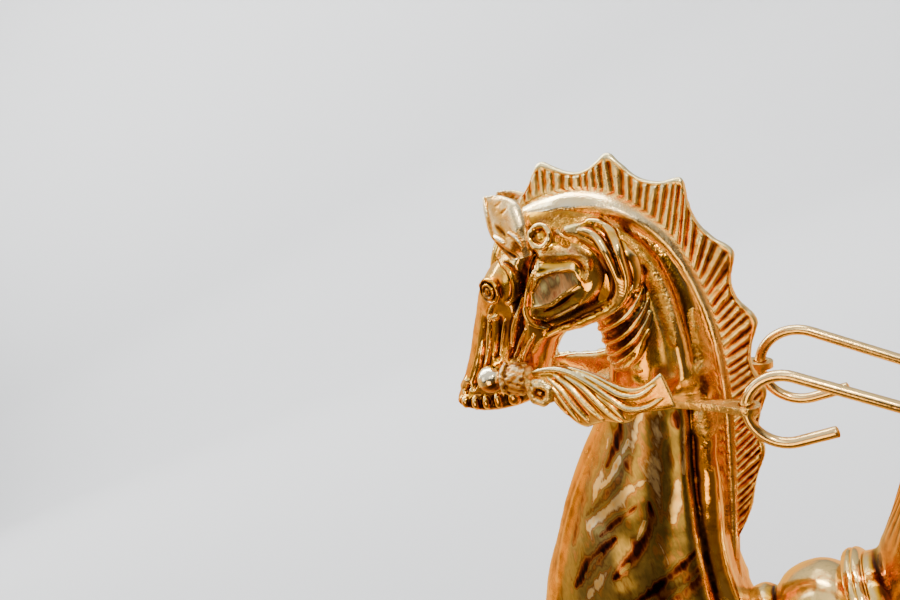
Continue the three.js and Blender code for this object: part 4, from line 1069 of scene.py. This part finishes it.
# short leg, hook, long leg and end curl, for a hook of one radius
def rodPath(hook):
    slope = math.radians(rodValues["slope"])
    centre = np.array(rodValues["eye"]) + hook * np.array([math.cos(slope), -math.sin(slope)])
    end = np.array(rodValues["legEnd"])
    across, down = end[0] - centre[0], centre[1] - end[1]
    fall = math.atan2(down, across) + math.asin(hook / math.hypot(across, down))
    turn = np.linspace(1.5 * math.pi, 0.5 * math.pi - fall, 60)
    arc = centre + hook * np.stack([np.cos(turn), np.sin(turn)], axis=1)
    start = np.linspace(centre + [rodValues["shortLeg"], -hook], arc[0], 16)[:-1]
    leg = np.linspace(arc[-1], end, 60)[1:]
    curl = rodValues["curlRadius"]
    middle = end + curl * np.array([math.cos(-math.pi / 2 - fall), math.sin(-math.pi / 2 - fall)])
    turn = math.pi / 2 - fall - np.linspace(0, math.radians(rodValues["curlAngle"]), 30)[1:]
    return np.vstack([start, arc, leg, middle + curl * np.stack([np.cos(turn), np.sin(turn)], axis=1)])


for label, side in sides.items():
    path = rodPath(rodValues["hooks"][label])
    rows = np.hstack([path, np.full((len(path), 2), rodValues["radius"])])
    rings = barRings(rows, rodValues["around"], side * rodValues["sideY"])
    rod = wrapBody("reinRod" + label.title(), closeEnds(rings, rodValues["ends"]))
    finishPiece(rod, "rod", "rein_" + label, "rein_rod_" + label)
print("rods done")

# tail: stem, ring and fan

tailValues = {
    "axisZ": 56,
    "stem": [(22, 0), (22, 16), (26, 18.6), (30, 20.2), (34.5, 20.6), (38, 19), (40, 18), (43, 20),
             (47, 23.5), (53, 26.4), (60, 28), (67, 28.1), (73, 26.2), (76.6, 23.8), (77.8, 22.6),
             (78, 21), (78, 0)],
    "ring": [(78.4, 0), (78.4, 26.6), (79, 28.4), (79.8, 29.4), (81, 30), (82.4, 30.5), (83.4, 30.2),
             (83.9, 29.5), (84.4, 30.2), (85.6, 30.5), (86.8, 30), (88, 29), (88.8, 27.6), (89, 26.4),
             (89, 0)],
    "fan": [        # front x, z, rear x, z, half width, sweep of its sides
        (89.3, 83.5, 89.3, 28.5, 27.5, 0), (95, 84, 95, 28.5, 27.5, 0), (101, 90.5, 107, 35, 28, 0),
        (108, 99.5, 121, 54, 30, 1), (116, 110, 132, 81, 33, 3), (125, 122, 139, 106, 37.5, 5),
        (135, 136, 145.5, 127, 42.5, 7), (143.5, 148, 151, 142, 46.5, 8), (147.5, 154, 153.5, 149, 48, 8)],
    "around": 320, "rows": 120, "flutes": 5, "fluteDepth": 1.1, "spinSteps": 96,
    "stemRows": 120, "ringRows": 80,
    "stemShade": 0.24, "ringShade": 0.16, "fanMottle": 0.85, "fanTone": 0.30, "fanShade": 0.3,
}
axis = (0, 0, tailValues["axisZ"])
rows = smoothRows(tailValues["stem"], tailValues["stemRows"])
stem = spinBody("tailStem", rows, axis, (1, 0, 0), tailValues["spinSteps"])
# painted sky reflection: the top of the stem stays pale, the rest is deeper
keep(stem, "shade", tailValues["stemShade"] * softStep(tailValues["axisZ"] + 26 - pointsOf(stem)[:, 2], 0, 5))
finishPiece(stem, "polished", "root", "tail_stem")
rows = smoothRows(tailValues["ring"], tailValues["ringRows"])
ring = spinBody("tailRing", rows, axis, (1, 0, 0), tailValues["spinSteps"])
keep(ring, "shade", tailValues["ringShade"])
finishPiece(ring, "polished", "root", "tail_ring")
rows = smoothRows(tailValues["fan"], tailValues["rows"], middles)
angle = np.linspace(0, 2 * math.pi, tailValues["around"] + 1)
rings = []
for frontX, frontZ, rearX, rearZ, halfWidth, sweep in rows:
    thickness = math.hypot(rearX - frontX, rearZ - frontZ)
    flute = tailValues["fluteDepth"] * softStep(frontX, 100, 122) \
        * np.sin(tailValues["flutes"] * math.pi * np.cos(angle)) ** 2
    out = (thickness / 2 - flute * (thickness > 5)) * np.sin(angle) - sweep * np.cos(angle) ** 2
    rings.append(np.stack([(frontX + rearX) / 2 + (rearX - frontX) / thickness * out,
                           halfWidth * np.cos(angle),
                           (frontZ + rearZ) / 2 + (rearZ - frontZ) / thickness * out], axis=1))
fan = wrapBody("tailFan", closeEnds(np.array(rings), (0, 0.8)))
points = pointsOf(fan)
# painted reflections on the flat sides of the fan, deeper orange over the rest
plain = softStep(points[:, 0], 100, 112) * softStep(np.abs(normalsOf(fan)[:, 1]), 0.2, 0.5)
keep(fan, "mottle", tailValues["fanMottle"] * plain)
keep(fan, "tone", tailValues["fanTone"])
keep(fan, "shade", tailValues["fanShade"] * (1 - plain))
finishPiece(fan, "polished", "root", "tail_fan")
print("tail done")

# foot

footValues = {
    "front": -108, "rear": 100, "halfWidth": 39, "around": 200, "rows": 70,
    "profile": [    # z, inset from the outline
        (0, 0.6), (0.5, 0.1), (1.2, 0), (5, 0), (6, 0.3), (7.2, 1.4), (8.2, 3.2), (9.6, 4.6), (11, 5),
        (12.4, 4.4), (13.6, 3.5), (15.4, 3), (17.2, 3.1), (19, 3.9), (20.6, 5.2), (22.4, 6.7), (24, 7.5),
        (24.7, 8), (25, 9)],
}
rings = []
angle = np.linspace(0, 2 * math.pi, 721)
for z, inset in smoothRows(footValues["profile"], footValues["rows"]):
    radius = footValues["halfWidth"] - inset
    reach = np.where(np.cos(angle) >= 0, footValues["rear"] - footValues["halfWidth"],
                     footValues["front"] + footValues["halfWidth"])
    ring = np.stack([reach + radius * np.cos(angle), radius * np.sin(angle), np.full(len(angle), z)], axis=1)
    rings.append(evenRing(ring, footValues["around"]))
footPiece = wrapBody("footCasting", closeEnds(np.array(rings)))
finishPiece(footPiece, "worn", "root", "foot")
print("foot done")

# camera, floor and light

cameraValues = {
    "place": (0.18097, -0.40587, 0.31850), "lens": 32, "sensor": 36, "nearest": 0.01, "roll": 24,
    "right": (0.8571673, 0.5137835, -0.0359272), "up": (0, 0.0697565, 0.9975641),
    "forward": (-0.5150381, 0.8550793, -0.0597930),
}
bpy.ops.object.camera_add(location=cameraValues["place"])
camera = bpy.context.object
camera.name = "photoCamera"
roll = math.radians(cameraValues["roll"])
right, up = Vector(cameraValues["right"]), Vector(cameraValues["up"])
turned = Matrix((math.cos(roll) * right - math.sin(roll) * up, math.sin(roll) * right + math.cos(roll) * up,
                 -Vector(cameraValues["forward"]))).transposed()
camera.matrix_world = Matrix.Translation(Vector(cameraValues["place"])) @ turned.to_4x4()
camera.data.lens, camera.data.sensor_width = cameraValues["lens"], cameraValues["sensor"]
camera.data.clip_start = cameraValues["nearest"]
bpy.context.scene.camera = camera

stageValues = {
    "floor": (-7, 4, -2.5, 2.0), "wallBend": 0.7, "bendSteps": 12, "wallHeight": 3.2,
    "colour": (0.66, 0.67, 0.68), "roughness": 0.9,
}
deselectAll()
bpy.ops.mesh.primitive_plane_add(size=1, location=(0, 0, 0))
floor = bpy.context.object
floor.name = "floor"
left, right, front, back = stageValues["floor"]
floorPoints = [(left, front, 0), (right, front, 0), (left, back, 0), (right, back, 0)]
setPoints(floor, np.array(floorPoints) / mm)
middle = Vector(((left + right) / 2, (front + back) / 2, 0))
halfLong, halfWide = (right - left) / 2, (back - front) / 2
editAll()
bpy.ops.mesh.region_to_loop()
bend, bendSteps = stageValues["wallBend"], stageValues["bendSteps"]     # the edges all bend up into walls
for step in range(bendSteps):
    a, b = step / bendSteps * math.pi / 2, (step + 1) / bendSteps * math.pi / 2
    rise = bend * (math.cos(a) - math.cos(b))
    bpy.ops.mesh.extrude_edges_move(TRANSFORM_OT_translate={"value": (0, 0, rise)})
    before, after = bend * math.sin(a), bend * math.sin(b)
    wider = ((halfLong + after) / (halfLong + before), (halfWide + after) / (halfWide + before), 1)
    bpy.ops.transform.resize(value=wider, center_override=middle)
bpy.ops.mesh.extrude_edges_move(TRANSFORM_OT_translate={"value": (0, 0, stageValues["wallHeight"])})
bpy.ops.object.mode_set(mode="OBJECT")
bpy.ops.object.shade_smooth()
material, graph, shader = newMaterial("paleFloor")
shader.inputs["Base Color"].default_value = (*stageValues["colour"], 1)
shader.inputs["Roughness"].default_value = stageValues["roughness"]
floor.data.materials.append(material)
floor.visible_glossy = False     # the polished metal mirrors the sky and the warm low light instead

lightValues = [   # name, place, aim, width, height, watts, colour, whether it lights the floor too
    ("skyTop", (-0.50, 0.10, 1.20), (0, 0, 0.25), 0.8, 0.7, 9, (0.88, 0.94, 1.0), False),
    ("window", (-0.85, -0.95, 0.80), (0, 0, 0.25), 0.35, 0.6, 1.6, (1.0, 0.95, 0.86), False),
    ("sun", (0.75, -0.7, 0.9), (0, 0, 0.25), 0.07, 0.07, 7, (1.0, 0.86, 0.62), False),
    ("lowWarm", (-0.15, -0.9, 0.06), (-0.03, 0, 0.25), 0.4, 0.5, 3.0, (1.0, 0.62, 0.20), False),
    ("frontFill", (0.55, -1.3, 0.95), (0, 0, 0.25), 0.7, 0.5, 3, (1.0, 0.90, 0.72), False),
    ("floorLight", (0.2, 0.6, 1.6), (0, 0.2, 0), 1.2, 1.2, 7, (1.0, 1.0, 1.0), True),
    ("wallLight", (-2.0, 0.4, 2.6), (-2.0, 2.8, 0.6), 7.0, 0.5, 300, (1.0, 1.0, 1.0), True),
]
ornamentOnly = bpy.data.collections.new("ornamentOnly")
ornamentOnly.objects.link(floor)
ornamentOnly.collection_objects[0].light_linking.link_state = "EXCLUDE"
for name, place, aim, width, height, watts, colour, onFloor in lightValues:
    bpy.ops.object.light_add(type="AREA", location=place)
    lamp = bpy.context.object
    lamp.name = name
    lamp.data.shape, lamp.data.size, lamp.data.size_y = "RECTANGLE", width, height
    lamp.data.energy, lamp.data.color = watts, colour
    lamp.rotation_euler = (Vector(aim) - Vector(place)).to_track_quat("-Z", "Y").to_euler()
    if not onFloor:
        lamp.light_linking.receiver_collection = ornamentOnly

world = bpy.data.worlds.new("studio")
bpy.context.scene.world = world
world.use_nodes = True
world.node_tree.nodes.clear()
graph = Graph(world.node_tree)
direction = graph.add("ShaderNodeTexCoord", output=0)
across, away, height = (graph.add("ShaderNodeSeparateXYZ", {}, {0: direction}, part) * 0.5 + 0.5
                        for part in range(3))     # 0 to 1 from left to right, near to far and low to high
nearSky = graph.ramp(height, [(0.50, (0.12, 0.09, 0.06)), (0.58, (0.08, 0.08, 0.08)),
                              (0.65, (0.44, 0.44, 0.44)), (0.76, (0.90, 0.90, 0.93)),
                              (1.0, (1.12, 1.11, 1.12))])
farSky = graph.ramp(height, [(0.50, (0.36, 0.36, 0.36)), (0.70, (0.69, 0.69, 0.70)),
                             (1.0, (1.12, 1.11, 1.12))])
sky = graph.blend(graph.fade(away, 0.50, 0.75), nearSky, farSky)
warmth = graph.ramp(away, [(0.25, (0.15, 0.09, 0.04)), (0.50, (0.95, 0.46, 0.13)), (0.80, (1.5, 0.80, 0.26))])
warmth = graph.blend(graph.fade(across, 0.30, 0.08), warmth, (0.70, 0.42, 0.17, 1))
sky = graph.blend(graph.fade(height, 0.49, 0.54), warmth, sky)
farLeft = graph.fade(away, 0.35, 0.48)      # an orange glow low at the left
nearLeft = graph.fade(away, 0.20, 0.30) * graph.fade(height, 0.46, 0.50)
glow = nearLeft.join("MAXIMUM", nearLeft, farLeft) * graph.fade(height, 0.76, 0.64)
sky = graph.blend(glow * graph.fade(across, 0.46, 0.30), sky, (1.45, 0.80, 0.16, 1))
cards = graph.fade(graph.noise(direction, 3.2, 2, 0.5, 0.8), 0.50, 0.54)      # dark cards, near and low
low = graph.ramp(height, [(0.30, (0, 0, 0)), (0.40, (1, 1, 1)), (0.60, (1, 1, 1)), (0.70, (0, 0, 0))])
sky = graph.blend(cards * low * graph.fade(away, 0.60, 0.40) * 0.6, sky, (0.035, 0.02, 0.012, 1))
light = graph.add("ShaderNodeBackground", {}, {0: sky, 1: 1.0})
output = world.node_tree.nodes.new("ShaderNodeOutputWorld")
world.node_tree.links.new(light.socket, output.inputs[0])
print("camera, floor and light done")
